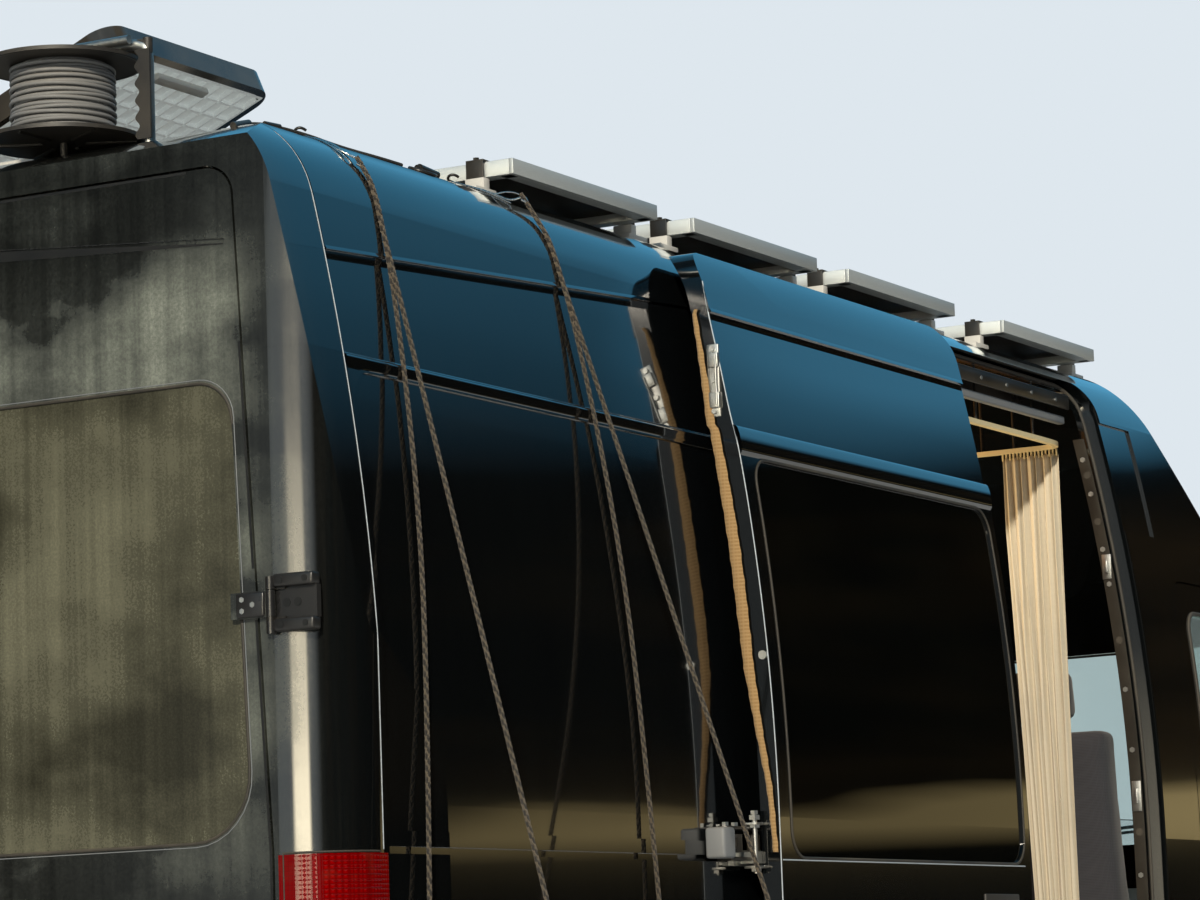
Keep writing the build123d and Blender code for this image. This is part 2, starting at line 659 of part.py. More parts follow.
for k, side in ((1, "left"), (-1, "right")):
    with BuildPart() as cab_door:
        add(side_prism(cab_door_outline, 600 * k, far * k))
        add(body_skin(0, wall), mode=Mode.INTERSECT)
        add(side_prism(cab_window, 600 * k, far * k), mode=Mode.SUBTRACT)
        for z in cab_hinge_z:
            add(hinge_barrel(cab_hinge_x, k * cab_hinge_y, z, -25, 25, True))
            add(block((cab_door_front_x - 40, cab_hinge_x - 6),
                      sorted((k * (cab_hinge_y - 8), k * (cab_hinge_y + 6))), (z - 25, z + 25)))
        # the mirror and its arm
        add(block((2130, 2190), sorted((k * (half_width - 11.5), k * (mirror_inner + 40))),
                  (mirror_low_z - 20, mirror_low_z + 10), 10))
        add(block((2090, 2200), sorted((k * mirror_inner, k * mirror_reach)),
                  (mirror_low_z, mirror_low_z + 300), 45))
    finish(cab_door.part, f"front_door_{side}")
    with BuildPart() as cab_glass:
        add(side_prism(cab_window, 600 * k, far * k, -seat_gap))
        add(body_skin(4, 4 + glass_thick), mode=Mode.INTERSECT)
    finish(cab_glass.part, f"front_door_{side}_glass")
    with BuildPart() as rear_door:
        add(rear_prism(mirrored(rear_door_outline, k), door_plane_x, door_plane_x + wall))
        add(rear_prism(mirrored(rear_window, k), door_plane_x, door_plane_x + wall), mode=Mode.SUBTRACT)
        add(rear_prism(mirrored(rear_swage, k), door_plane_x - 1, door_plane_x + pressing_depth),
            mode=Mode.SUBTRACT)
        for z in rear_hinge_z:
            add(hinge_barrel(rear_hinge_x, k * rear_hinge_y, z, -25, 25, True))
            add(block((door_plane_x - 6, door_plane_x), sorted((k * 760, k * 822)), (z - 25, z + 25)))
            add(block((door_plane_x - 14, door_plane_x - 6), sorted((k * 760, k * (rear_hinge_y - 6))),
                      (z - 25, z + 25)))
    finish(rear_door.part, f"rear_door_{side}")
    with BuildPart() as rear_glass:
        add(rear_prism(mirrored(rear_window, k), door_plane_x + 3, door_plane_x + 3 + glass_thick,
                       -seat_gap))
    finish(rear_glass.part, f"rear_door_{side}_glass")

with BuildPart() as door_hinges:
    for k in (1, -1):
        for z in cab_hinge_z:
            add(hinge_fixed(cab_hinge_x, k * cab_hinge_y, z, (cab_hinge_x + 6, cab_hinge_x + 60),
                            sorted((k * half_width, k * (cab_hinge_y + 6)))))
        for z in rear_hinge_z:
            add(hinge_fixed(rear_hinge_x, k * rear_hinge_y, z, (door_plane_x - 8, door_plane_x),
                            sorted((k * (rear_hinge_y + 2), k * (rear_hinge_y + 30)))))
    for y in bonnet_hinge_y:
        add(rod((bonnet_hinge[0], y - 34, bonnet_hinge[1]), (bonnet_hinge[0], y + 34, bonnet_hinge[1]), 4))
        for start in (y - 34, y + 16):
            add(block((bonnet_hinge[0] - 14, bonnet_hinge[0] + 7), (start, start + 18),
                      (1230, bonnet_hinge[1] + 7)))
    for panel in (front_structure.part, wings["left"], wings["right"]):
        add(panel, mode=Mode.SUBTRACT)
finish(door_hinges.part, "door_hinges")

# The sliding door, open: it has run back along the side and stands off it
open_place = Location((-door_travel, -door_out, 0))
with BuildPart() as sliding_door:
    add(side_prism(sliding_outline, -far, -600))
    add(body_skin(0, wall), mode=Mode.INTERSECT)
    add(side_prism(door_window, -far, -600), mode=Mode.SUBTRACT)
    with BuildPart(mode=Mode.PRIVATE) as band:
        add(side_prism(door_band, -far, -600))
        add(body_skin(-1, band_depth), mode=Mode.INTERSECT)
    add(band.part, mode=Mode.SUBTRACT)
finish(sliding_door.part.moved(open_place), "sliding_door")
with BuildPart() as sliding_door_glass:
    add(side_prism(door_window, -far, -600, -seat_gap))
    add(body_skin(5, 5 + glass_thick), mode=Mode.INTERSECT)
finish(sliding_door_glass.part.moved(open_place), "sliding_door_glass")

# The rail along the waist and the carriage that holds the door
with BuildPart() as door_rail:
    add(block((door_plane_x + 1560, side_opening_x[0] - door_overlap - 10), (-half_width - 14, -half_width),
              (1195, 1229)))
    add(block((door_plane_x + 1600, door_plane_x + 1700),
              (-half_width - door_out + wall + seat_gap, -half_width - 14), (1199, 1225)))
finish(door_rail.part, "door_rail")

# Chassis
with BuildPart() as chassis_frame:
    for k in (1, -1):
        add(block((-3340, 2950), sorted((k * (rail_y - rail_width / 2), k * (rail_y + rail_width / 2))),
                  (rail_low_z, floor_top_z - floor_thick)))
    for x in (-3300, -2600, -1300, -500, 300, 1400):
        add(block((x, x + 70), (rail_width / 2 - rail_y, rail_y - rail_width / 2), (500, 580)))
finish(chassis_frame.part, "chassis_frame")

# Wheels, axles and steering
with BuildPart() as tyre:
    with BuildSketch(Plane.YZ):
        with BuildLine():
            Polyline((-85, rim_radius), (85, rim_radius), (104, 235), (117.5, 275), (110, 325), (92, 350),
                     (70, tyre_radius), (-70, tyre_radius), (-92, 350), (-110, 325), (-117.5, 275),
                     (-104, 235), (-85, rim_radius))
        make_face()
    revolve(axis=Axis.Y)
with BuildPart() as rim:
    with BuildSketch(Plane.YZ):
        with BuildLine():
            Polyline((-85, rim_radius - seat_gap), (85, rim_radius - seat_gap), (100, 214), (100, 204),
                     (82, 196), (60, 186), (30, 180), (-85, 180), (-100, 204), (-100, 214),
                     (-85, rim_radius - seat_gap))
        make_face()
        with BuildLine():
            Polyline((18, spindle_radius + run_gap), (18, 90), (50, 130), (50, 190), (40, 190), (40, 134),
                     (8, 96), (-20, 90), (-20, spindle_radius + run_gap), (18, spindle_radius + run_gap))
        make_face()
    revolve(axis=Axis.Y)
    with BuildSketch(Plane.XZ):
        with PolarLocations(155, 8):
            Circle(17)
    extrude(amount=200, both=True, mode=Mode.SUBTRACT)

for end, axle_x in (("front", front_axle_x), ("rear", rear_axle_x)):
    for k, side in ((1, "left"), (-1, "right")):
        turn = 0 if k == 1 else 180
        place = Location((axle_x, k * track_half, axle_z), (0, 0, turn))
        finish(tyre.part.moved(place), f"tyre_{end}_{side}")
        finish(rim.part.moved(place), f"rim_{end}_{side}")

kingpin_y = track_half - kingpin_inset
kingpin_half = 125.0
arm_z = (108.0, 132.0)
for k, side in ((1, "left"), (-1, "right")):
    with BuildPart() as knuckle:
        add(rod((front_axle_x, k * kingpin_y, axle_z - arm_z[1] - 10),
                (front_axle_x, k * kingpin_y, axle_z + arm_z[1] + 10), kingpin_radius))
        add(rod((front_axle_x, k * kingpin_y, axle_z - arm_z[0] + 6),
                (front_axle_x, k * kingpin_y, axle_z + arm_z[0] - 6), 34))
        add(rod((front_axle_x, k * kingpin_y, axle_z), (front_axle_x, k * (track_half + 25), axle_z),
                spindle_radius))
    finish(knuckle.part, f"knuckle_{side}")

with BuildPart() as front_axle:
    add(block((front_axle_x - 110, front_axle_x + 110), (-480, 480), (300, 420), 30))
    for k in (1, -1):
        for low, high in ((-arm_z[1], -arm_z[0]), (arm_z[0], arm_z[1])):
            with BuildSketch(Plane.XY.offset(axle_z + low)):
                with BuildLine():
                    Polyline((front_axle_x - 90, k * 440), (front_axle_x + 90, k * 440),
                             (front_axle_x + 30, k * 640), (front_axle_x + 30, k * 790),
                             (front_axle_x - 30, k * 790), (front_axle_x - 30, k * 640),
                             (front_axle_x - 90, k * 440))
                make_face()
                with Locations((front_axle_x, k * kingpin_y)):
                    Circle(30)
                    Circle(kingpin_radius + run_gap, mode=Mode.SUBTRACT)
            extrude(amount=high - low)
        add(block((front_axle_x - 60, front_axle_x + 60), sorted((k * 400, k * 480)), (224, rail_low_z)))
        add(rod((front_axle_x, k * 600, axle_z + arm_z[1]), (front_axle_x, k * 600, 880), 45))
finish(front_axle.part, "front_axle")

spring_y = 560.0
with BuildPart() as rear_axle:
    add(rod((rear_axle_x, -track_half - 25, axle_z), (rear_axle_x, track_half + 25, axle_z), spindle_radius))
    add(rod((rear_axle_x, -700, axle_z), (rear_axle_x, 700, axle_z), 50))
    with BuildSketch(Plane(origin=(rear_axle_x, 0, axle_z))):
        Circle(150)
    extrude(amount=60, both=True)
    for k in (1, -1):
        add(block((rear_axle_x - 700, rear_axle_x + 650), sorted((k * 525, k * 595)), (410, 440)))
        add(block((rear_axle_x - 60, rear_axle_x + 60), sorted((k * 525, k * 595)), (330, 411)))
        for x in (rear_axle_x - 700, rear_axle_x + 610):
            add(block((x, x + 40), sorted((k * (rail_y + rail_width / 2), k * 595)), (420, 540)))
finish(rear_axle.part, "rear_axle")

with BuildPart() as engine_block:
    add(block((2480, 3050), (-260, 260), (560, 1000), 40))
    add(block((1700, 2480), (-130, 130), (420, 590), 40))
finish(engine_block.part, "engine_block")

with BuildPart() as exhaust:
    add(rod((1500, 250, 430), (-1000, 250, 430), 32))
    add(rod((300, 250, 430), (-400, 250, 430), 90))
    add(rod((-1000, 250, 430), (-1000, 700, 430), 32))
finish(exhaust.part, "exhaust")

with BuildPart() as fuel_tank:
    add(block((500, 1300), (-380, -60), (290, 489), 50))
    for x in (600, 1160):
        add(block((x, x + 40), (-rail_y - rail_width / 2, -300), (470, rail_low_z - seat_gap)))
finish(fuel_tank.part, "fuel_tank")

# Cab and living space
with BuildPart() as dashboard:
    add(side_prism([(2150, 1010, 60), (2150, 1120, 60), (2330, 1200, 60), (2560, 1200, 20), (2560, 1010, 20)],
                   -880, 880))
    add(block((2300, 2540), (-far, far), (1030, 1180)))
    add(body_solid(wall + seat_gap), mode=Mode.INTERSECT)
    add(rod((2200, 380, 1060), (2060, 380, 1120), 25))
    with BuildSketch(Plane(origin=(2050, 380, 1124), z_dir=(-140, 0, 60))):
        Circle(200)
        Circle(172, mode=Mode.SUBTRACT)
        Rectangle(360, 40)
        Circle(60)
    extrude(amount=24, both=True)
finish(dashboard.part, "dashboard")

with BuildPart() as cab_seats:
    for y in (-440, 440):
        add(block((1350, 1830), (y - 240, y + 240), (floor_top_z, 900), 60))
        add(block((1330, 1880), (y - 250, y + 250), (900, 1020), 80))
        add(side_prism([(1320, 1000, 40), (1460, 1000, 40), (1360, 1660, 60), (1240, 1660, 60)],
                       y - 240, y + 240))
        add(side_prism([(1250, 1670, 30), (1350, 1670, 30), (1330, 1840, 30), (1240, 1840, 30)],
                       y - 130, y + 130))
        add(rod((1300, y, 1600), (1290, y, 1700), 8))
finish(cab_seats.part, "cab_seats")

with BuildPart() as kitchen_unit:
    add(block((-700, 700), (330, 880), (floor_top_z, 1500), 10))
    add(block((-720, 720), (310, 880), (1500, 1540), 10))
finish(kitchen_unit.part, "kitchen_unit")

with BuildPart() as bed_platform:
    add(body_solid(wall + seat_gap))
    add(block((-3340, -1560), (-950, 950), (1180, 1220)), mode=Mode.INTERSECT)
    for x in (-3300, -1600):
        for k in (1, -1):
            add(block((x, x + 36), sorted((k * 560, k * 660)), (floor_top_z, 1180)))
finish(bed_platform.part, "bed_platform")

with BuildPart() as mattress:
    add(block((-3320, -1580), (-900, 900), (1220 + seat_gap, 1340), 60))
finish(mattress.part, "mattress")

# The curtain behind the cab, drawn together at its right end, up to the ceiling
curtain_x = (840.0, 870.0)
curtain_y = (-745.0, -545.0)
with BuildPart() as curtain:
    add(body_solid(wall + seat_gap))
    add(block(curtain_x, curtain_y, (760, 2700)), mode=Mode.INTERSECT)
finish(curtain.part, "curtain")

# Roof equipment
panel_top_z = 2744.0
panel_thick = 35.0
panel_y = (-765.0, 715.0)
panel_width = 670.0
panel_x = (-2284.5, -1429.5, -574.5, 429.5)
with BuildPart() as solar_panels:
    for x in panel_x:
        add(block((x, x + panel_width), panel_y, (panel_top_z - panel_thick, panel_top_z)))
finish(solar_panels.part, "solar_panels")

with BuildPart() as panel_rails:
    for y in (-545, 545):
        add(block((panel_x[0] - 40, panel_x[-1] + panel_width + 40), (y - 20, y + 20),
                  (2600, panel_top_z - panel_thick)))
    add(body_solid(0), mode=Mode.SUBTRACT)
finish(panel_rails.part, "panel_rails")

hatch_x = (-2997.5, -2407.5)
hatch_half = 258.0
lid_angle = 22.8
lid_hinge = (hatch_half + 14, 2738.0)       # its axis: Y and Z
lug_x = (hatch_x[0] + 120, hatch_x[1] - 160)
with BuildPart() as hatch_frame:
    add(block(hatch_x, (-hatch_half, hatch_half), (2620, 2726), 60))
    for x in lug_x:
        for start in (x, x + 28):
            add(block((start, start + 12), (hatch_half - 20, lid_hinge[0] + 10), (2700, 2726)))
            add(block((start, start + 12), (hatch_half - 8, lid_hinge[0] + 10), (2720, 2748)))
        add(rod((x, lid_hinge[0], lid_hinge[1]), (x + 40, lid_hinge[0], lid_hinge[1]), 4))
    add(block((hatch_x[0] + 30, hatch_x[1] - 30), (30 - hatch_half, hatch_half - 30), (2600, 2800), 40),
        mode=Mode.SUBTRACT)
    add(roof_panel.part, mode=Mode.SUBTRACT)
    add(block(hatch_x, (-hatch_half, hatch_half), (2500, 2640)), mode=Mode.SUBTRACT)
finish(hatch_frame.part, "hatch_frame")

with BuildPart() as hatch_lid:
    add(block((hatch_x[0] - 8, hatch_x[1] + 8), (-hatch_half - 8, hatch_half - 14), (2731, 2785), 60))
    add(block((hatch_x[0] + 12, hatch_x[1] - 12), (12 - hatch_half, hatch_half - 34), (2725, 2745), 40),
        mode=Mode.SUBTRACT)
    for x in lug_x:
        add(block((x + 13, x + 27), (hatch_half - 20, lid_hinge[0] + 8), (lid_hinge[1] - 7, lid_hinge[1] + 7)))
        add(rod((x + 10, lid_hinge[0], lid_hinge[1]), (x + 30, lid_hinge[0], lid_hinge[1]), 4 + run_gap),
            mode=Mode.SUBTRACT)
lid_axis = Axis((0, lid_hinge[0], lid_hinge[1]), (1, 0, 0))
finish(hatch_lid.part.rotate(lid_axis, -lid_angle), "hatch_lid")

reel_x, reel_y, reel_z = -3197.5, -230.0, 2684.0
with BuildPart() as cable_reel:
    for z in (reel_z + 6, reel_z + 166):
        add(rod((reel_x, reel_y, z), (reel_x, reel_y, z + 8), 165))
    add(rod((reel_x, reel_y, reel_z + 14), (reel_x, reel_y, reel_z + 166), 60))
    add(rod((reel_x, reel_y, 2620), (reel_x, reel_y, reel_z + 200), 8))
    add(rod((reel_x, reel_y, reel_z + 192), (reel_x + 20, reel_y - 200, reel_z + 192), 10))
    add(rod((reel_x + 20, reel_y - 200, reel_z + 202), (reel_x + 20, reel_y - 200, 2620), 10))
    add(body_solid(0), mode=Mode.SUBTRACT)
finish(cable_reel.part, "cable_reel")

with BuildPart() as reel_cable:
    add(rod((reel_x, reel_y, reel_z + 16), (reel_x, reel_y, reel_z + 164), 110))
    add(rod((reel_x, reel_y, reel_z + 16), (reel_x, reel_y, reel_z + 164), 60 + seat_gap), mode=Mode.SUBTRACT)
finish(reel_cable.part, "reel_cable")

# The side table hangs beside the body on two pairs of ropes, from wire hooks on the roof's shoulder
table_x = (-3165.0, -2165.0)
table_y = (-1318.0, -1000.0)
table_z = (1025.0, 1040.0)
rope_radius = 5.5
knot_radius = 12.0
inner_rope_y, outer_rope_y = -1016.0, -1298.0
# each pair: X, Y and Z of the ropes' upper end, then X at the table
rope_pairs = ((-3000.0, -812.0, 2617.0, -3140.0), (-2298.0, -790.0, 2658.0, -2190.0))


def beside_body(arc_radius, middle, degrees, half_step):
    # a bend of a rope that lies on an arc of the body's section, on the right side: the runs from
    # bend to bend, two half steps apart, touch the arc moved out by the rope's radius
    reach = (arc_radius + rope_radius + seat_gap) / math.cos(math.radians(half_step))
    turn = math.radians(degrees)
    return -(middle[0] + reach * math.cos(turn)), middle[1] + reach * math.sin(turn)


def rope_route(pair, foot_y, shoulder_bends, side_bends):
    # down from the hook, over the shoulder, along the side and then straight through the table
    top_x, top_y, top_z, foot_x = pair
    rise = math.asin((shoulder_z - widest_z) / side_radius)
    step = side_radius - shoulder_radius
    side_middle = (half_width - side_radius, widest_z)
    shoulder_middle = (side_middle[0] + step * math.cos(rise), widest_z + step * math.sin(rise))
    across = [(top_y, top_z)]
    for degrees, half_step in shoulder_bends:
        across.append(beside_body(shoulder_radius, shoulder_middle, degrees, half_step))
    for degrees, half_step in side_bends:
        across.append(beside_body(side_radius, side_middle, degrees, half_step))
    across.append((foot_y, table_z[0] - knot_radius))
    drop = top_z - across[-1][1]
    return [(top_x + (foot_x - top_x) * (top_z - z) / drop, y, z) for y, z in across]


rope_routes = []
for pair in rope_pairs:
    rope_routes.append(rope_route(pair, inner_rope_y, ((36.7, 8), (20.7, 8)),
                                  ((10.7, 2), (6.7, 2), (2.7, 2))))
    rope_routes.append(rope_route(pair, outer_rope_y, ((37, 7), (23, 7)), ()))
with BuildPart() as side_table:
    add(block(table_x, table_y, table_z, 20))
    for route in rope_routes:
        add(rod(route[-2], route[-1], rope_radius + 1), mode=Mode.SUBTRACT)
finish(side_table.part, "side_table")

with BuildPart() as ropes:
    for route in rope_routes:
        add(wire(route, rope_radius))
        knot_x, knot_y, _ = route[-1]
        with BuildSketch(Plane.XY.offset(table_z[0] - seat_gap)):
            with Locations((knot_x, knot_y)):
                Circle(knot_radius)
        extrude(amount=-2 * knot_radius)
finish(ropes.part, "ropes")
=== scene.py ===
import math

import bmesh
import bpy
from mathutils import Matrix, Vector
from mathutils.bvhtree import BVHTree


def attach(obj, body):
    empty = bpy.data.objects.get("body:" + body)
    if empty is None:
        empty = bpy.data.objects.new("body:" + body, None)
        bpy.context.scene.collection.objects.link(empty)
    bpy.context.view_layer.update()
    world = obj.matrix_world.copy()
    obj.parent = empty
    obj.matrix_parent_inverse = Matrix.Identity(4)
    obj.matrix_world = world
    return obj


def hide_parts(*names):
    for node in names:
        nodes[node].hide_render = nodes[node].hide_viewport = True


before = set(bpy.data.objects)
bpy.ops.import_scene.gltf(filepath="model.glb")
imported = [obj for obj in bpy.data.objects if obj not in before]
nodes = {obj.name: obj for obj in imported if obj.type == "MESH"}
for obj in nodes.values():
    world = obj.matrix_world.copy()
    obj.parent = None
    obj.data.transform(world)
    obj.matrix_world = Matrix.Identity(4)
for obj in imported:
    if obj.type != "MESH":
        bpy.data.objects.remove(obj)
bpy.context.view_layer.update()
sides = ((1, "left"), (-1, "right"))
print("frame loaded,", len(nodes), "nodes")


# Small tools for materials

def colour(red, green, blue):
    # a colour picked on screen, 0 to 255, as Blender's linear values
    values = [v / 255 for v in (red, green, blue)]
    return [v / 12.92 if v <= 0.04045 else ((v + 0.055) / 1.055) ** 2.4 for v in values] + [1.0]


def addNode(tree, kind, inputs=None, **settings):
    node = tree.nodes.new("ShaderNode" + kind)
    for key, value in settings.items():
        setattr(node, key, value)
    for key, value in (inputs or {}).items():
        if isinstance(value, bpy.types.NodeSocket):
            tree.links.new(value, node.inputs[key])
        else:
            node.inputs[key].default_value = value
    return node


def newMaterial(name, **inputs):
    # a Principled material, with the inputs that are the same all over
    material = bpy.data.materials.new(name)
    material.use_nodes = True
    shader = material.node_tree.nodes["Principled BSDF"]
    for key, value in inputs.items():
        shader.inputs[key.replace("_", " ")].default_value = value
    return material, material.node_tree, shader


def placeOf(tree, scale=(1, 1, 1), kind="Object"):
    here = addNode(tree, "TexCoord").outputs[kind]
    if tuple(scale) == (1, 1, 1):
        return here
    return addNode(tree, "Mapping", {"Vector": here, "Scale": scale}).outputs[0]


def noise(tree, place, scale, detail=3.0, roughness=0.55):
    return addNode(tree, "TexNoise", {"Vector": place, "Scale": scale, "Detail": detail,
                                      "Roughness": roughness}).outputs["Fac"]


def spread(tree, value, low, high, toLow=0.0, toHigh=1.0):
    return addNode(tree, "MapRange", {"Value": value, "From Min": low, "From Max": high,
                                      "To Min": toLow, "To Max": toHigh}).outputs[0]


def calc(tree, operation, first, second=0.0, clamp=False):
    return addNode(tree, "Math", {0: first, 1: second}, operation=operation,
                   use_clamp=clamp).outputs[0]


def product(tree, total, *others, clamp=False):
    for count, value in enumerate(others, 1):
        total = calc(tree, "MULTIPLY", total, value, clamp and count == len(others))
    return total


def darker(shade, share):
    return [v * share for v in shade[:3]] + [1.0]


def mix(tree, amount, first, second):
    node = addNode(tree, "Mix", {0: amount, 6: first, 7: second}, data_type="RGBA")
    return node.outputs[2]


def bump(tree, shader, height, distance, strength=1.0):
    node = addNode(tree, "Bump", {"Height": height, "Distance": distance, "Strength": strength})
    tree.links.new(node.outputs[0], shader.inputs["Normal"])


def feed(tree, shader, **sockets):
    for key, socket in sockets.items():
        tree.links.new(socket, shader.inputs[key.replace("_", " ")])


def upwards(tree):
    # how far a surface faces the sky, where dust settles
    normal = addNode(tree, "NewGeometry").outputs["Normal"]
    return addNode(tree, "SeparateXYZ", {0: normal}).outputs[2]


paintLook = {"black": colour(5, 7, 9), "dust": colour(146, 152, 140), "sideDust": 0.004, "roofDust": 0.02,
             "cornerDust": 0.016, "rearDust": 0.29, "rearX": -3.385}


def makePaint():
    # gloss black; road dust lies on the rear doors in clouds and runs, thinner on the corners
    look = paintLook
    material, tree, shader = newMaterial("vanPaint", Coat_Roughness=0.02, IOR=1.5)
    place = placeOf(tree)
    split = addNode(tree, "SeparateXYZ", {0: place})
    cloud = noise(tree, placeOf(tree, (1, 1, 1.7)), 2.6, 9.0, 0.52)
    speck = noise(tree, place, 170.0, 3.0, 0.7)
    streak = noise(tree, placeOf(tree, (30, 30, 0.8)), 1.0, 5.0, 0.62)
    up = spread(tree, upwards(tree), 0.5, 0.98, 0.0, look["roofDust"])
    low = spread(tree, split.outputs[2], 0.95, 0.40, 0.0, 0.14)
    rear = spread(tree, split.outputs[0], look["rearX"] + 0.012, look["rearX"] - 0.008)
    corner = spread(tree, split.outputs[0], look["rearX"] + 0.075, look["rearX"] - 0.004, 0.0,
                    look["cornerDust"])
    level = product(tree, spread(tree, split.outputs[2], 2.42, 2.28, 0.12, 1.0),
                    spread(tree, split.outputs[2], 1.12, 1.40, 0.14, 1.0))
    pillar = spread(tree, calc(tree, "ABSOLUTE", split.outputs[1]), 0.770, 0.850, 1.0, 0.22)
    onRear = product(tree, rear, level, pillar, spread(tree, cloud, 0.42, 0.62, 0.12, 1.5),
                     look["rearDust"])
    base = calc(tree, "ADD", calc(tree, "ADD", up, corner), calc(tree, "ADD", low, look["sideDust"]))
    fine = product(tree, calc(tree, "ADD", base, onRear), spread(tree, streak, 0.3, 0.7, 0.55, 1.4),
                   spread(tree, speck, 0.35, 0.7, 0.75, 1.35), clamp=True)
    feed(tree, shader, Base_Color=mix(tree, fine, look["black"], look["dust"]),
         Roughness=spread(tree, fine, 0.0, 0.12, 0.08, 0.40),
         Coat_Weight=spread(tree, fine, 0.0, 0.25, 1.0, 0.3))
    bump(tree, shader, noise(tree, place, 260.0, 1.0), 0.00004, 0.2)
    return material


def makeDustyGlass(name, base, dustShare, seeThrough):
    # tinted glass; the rear panes carry a film of road dust with clouds and vertical runs
    material, tree, shader = newMaterial(name, IOR=1.5, Transmission_Weight=seeThrough)
    place = placeOf(tree)
    cloud = noise(tree, placeOf(tree, (1, 1, 1.5)), 2.0, 9.0, 0.54)
    runs = noise(tree, placeOf(tree, (34, 34, 0.7)), 1.0, 6.0, 0.62)
    speck = noise(tree, place, 200.0, 2.0, 0.7)
    film = product(tree, spread(tree, cloud, 0.38, 0.62, 0.35, 1.25),
                   spread(tree, runs, 0.35, 0.65, 0.78, 1.20),
                   spread(tree, speck, 0.4, 0.65, 0.8, 1.15), dustShare, clamp=True)
    feed(tree, shader, Base_Color=mix(tree, film, base, colour(148, 146, 118)),
         Roughness=spread(tree, film, 0.0, 0.4, 0.015, 0.45))
    return material


def makeTrim(name, base, rough, grain, grainHeight, dust=0.08, glow=0.0):
    # moulded plastic or rubber with a fine grain and a little dust; a glow is painted light, standing for
    # daylight behind it
    material, tree, shader = newMaterial(name, IOR=1.47, Emission_Color=base, Emission_Strength=glow)
    place = placeOf(tree)
    patch = noise(tree, place, 6.0, 5.0)
    settled = calc(tree, "ADD", spread(tree, upwards(tree), 0.2, 1.0, 0.0, dust * 1.6), dust)
    amount = product(tree, settled, spread(tree, patch, 0.3, 0.7, 0.4, 1.6), clamp=True)
    feed(tree, shader, Base_Color=mix(tree, amount, base, colour(150, 139, 118)),
         Roughness=spread(tree, patch, 0.2, 0.8, rough - 0.08, rough + 0.12))
    bump(tree, shader, noise(tree, place, grain, 2.0), grainHeight)
    return material


def makeMetal(name, base, rough, stretch=(1, 1, 1), grain=300.0, stain=None, stainShare=0.0, metallic=1.0):
    # bare metal: brush lines along the direction of the smallest stretch, and stains
    material, tree, shader = newMaterial(name, Metallic=metallic)
    place = placeOf(tree)
    lines = noise(tree, placeOf(tree, stretch), grain, 4.0, 0.7)
    patch = noise(tree, place, 9.0, 6.0, 0.65)
    shade = mix(tree, spread(tree, lines, 0.3, 0.7, 0.0, 0.35), base, darker(base, 0.55))
    if stain:
        shade = mix(tree, spread(tree, patch, 0.55, 0.75, 0.0, stainShare), shade, stain)
    feed(tree, shader, Base_Color=shade,
         Roughness=spread(tree, lines, 0.25, 0.75, rough - 0.07, rough + 0.13))
    bump(tree, shader, lines, 0.00008, 0.4)
    return material


def makeEnamel(name, base, rough, rust=None, rustShare=0.0):
    # painted metal under the van, with grit and rust
    material, tree, shader = newMaterial(name, IOR=1.5)
    place = placeOf(tree)
    patch = noise(tree, place, 11.0, 8.0, 0.7)
    grit = noise(tree, place, 120.0, 3.0, 0.7)
    shade = mix(tree, spread(tree, grit, 0.45, 0.75, 0.0, 0.35), base, colour(120, 108, 88))
    if rust:
        shade = mix(tree, spread(tree, patch, 0.54, 0.66, 0.0, rustShare), shade, rust)
    feed(tree, shader, Base_Color=shade, Roughness=spread(tree, patch, 0.3, 0.7, rough, rough + 0.3))
    bump(tree, shader, grit, 0.0003, 0.5)
    return material


def makeWood(name, light, dark, along=(1, 9, 9), gloss=0.38, plies=False):
    # wood with its grain along the axis of the smallest scale, or plywood with its plies
    material, tree, shader = newMaterial(name, IOR=1.45)
    place = placeOf(tree, along)
    bend = noise(tree, place, 1.1, 3.0)
    rings = addNode(tree, "TexWave", {"Vector": place, "Scale": 2.2, "Distortion": 5.0,
                                      "Detail": 3.0, "Detail Scale": 1.4}).outputs["Fac"]
    pores = noise(tree, placeOf(tree, [v * 26 for v in along]), 1.0, 2.0)
    tone = calc(tree, "ADD", product(tree, rings, 0.55), product(tree, bend, 0.5))
    shade = mix(tree, tone, light, dark)
    if plies:
        layers = addNode(tree, "TexWave", {"Vector": placeOf(tree), "Scale": 95.0, "Distortion": 0.4},
                         bands_direction="Z").outputs["Fac"]
        shade = mix(tree, spread(tree, layers, 0.4, 0.6, 0.0, 0.35), shade, dark)
    shade = mix(tree, spread(tree, pores, 0.56, 0.66, 0.0, 0.4), shade, darker(dark, 0.5))
    feed(tree, shader, Base_Color=shade, Roughness=spread(tree, pores, 0.3, 0.7, gloss, gloss + 0.2))
    bump(tree, shader, pores, 0.0002, 0.4)
    return material


def makeCloth(name, base, second, threads=1600.0):
    # a plain weave: crossed sets of threads on the piece's own coordinates
    material, tree, shader = newMaterial(name, Roughness=0.92, Sheen_Weight=0.25, Sheen_Roughness=0.5)
    place = placeOf(tree)
    warp, weft, side = (addNode(tree, "TexWave",
                                {"Vector": place, "Scale": threads / 10, "Distortion": 0.6},
                                bands_direction=way).outputs["Fac"] for way in "ZYX")
    weave = calc(tree, "MAXIMUM", warp, product(tree, weft, side))
    soil = noise(tree, place, 5.0, 6.0, 0.6)
    shade = mix(tree, spread(tree, weave, 0.2, 0.9, 0.0, 0.5), base, second)
    shade = mix(tree, spread(tree, soil, 0.5, 0.8, 0.0, 0.25), shade, darker(base, 0.6))
    feed(tree, shader, Base_Color=shade)
    bump(tree, shader, weave, 0.0004, 0.5)
    return material


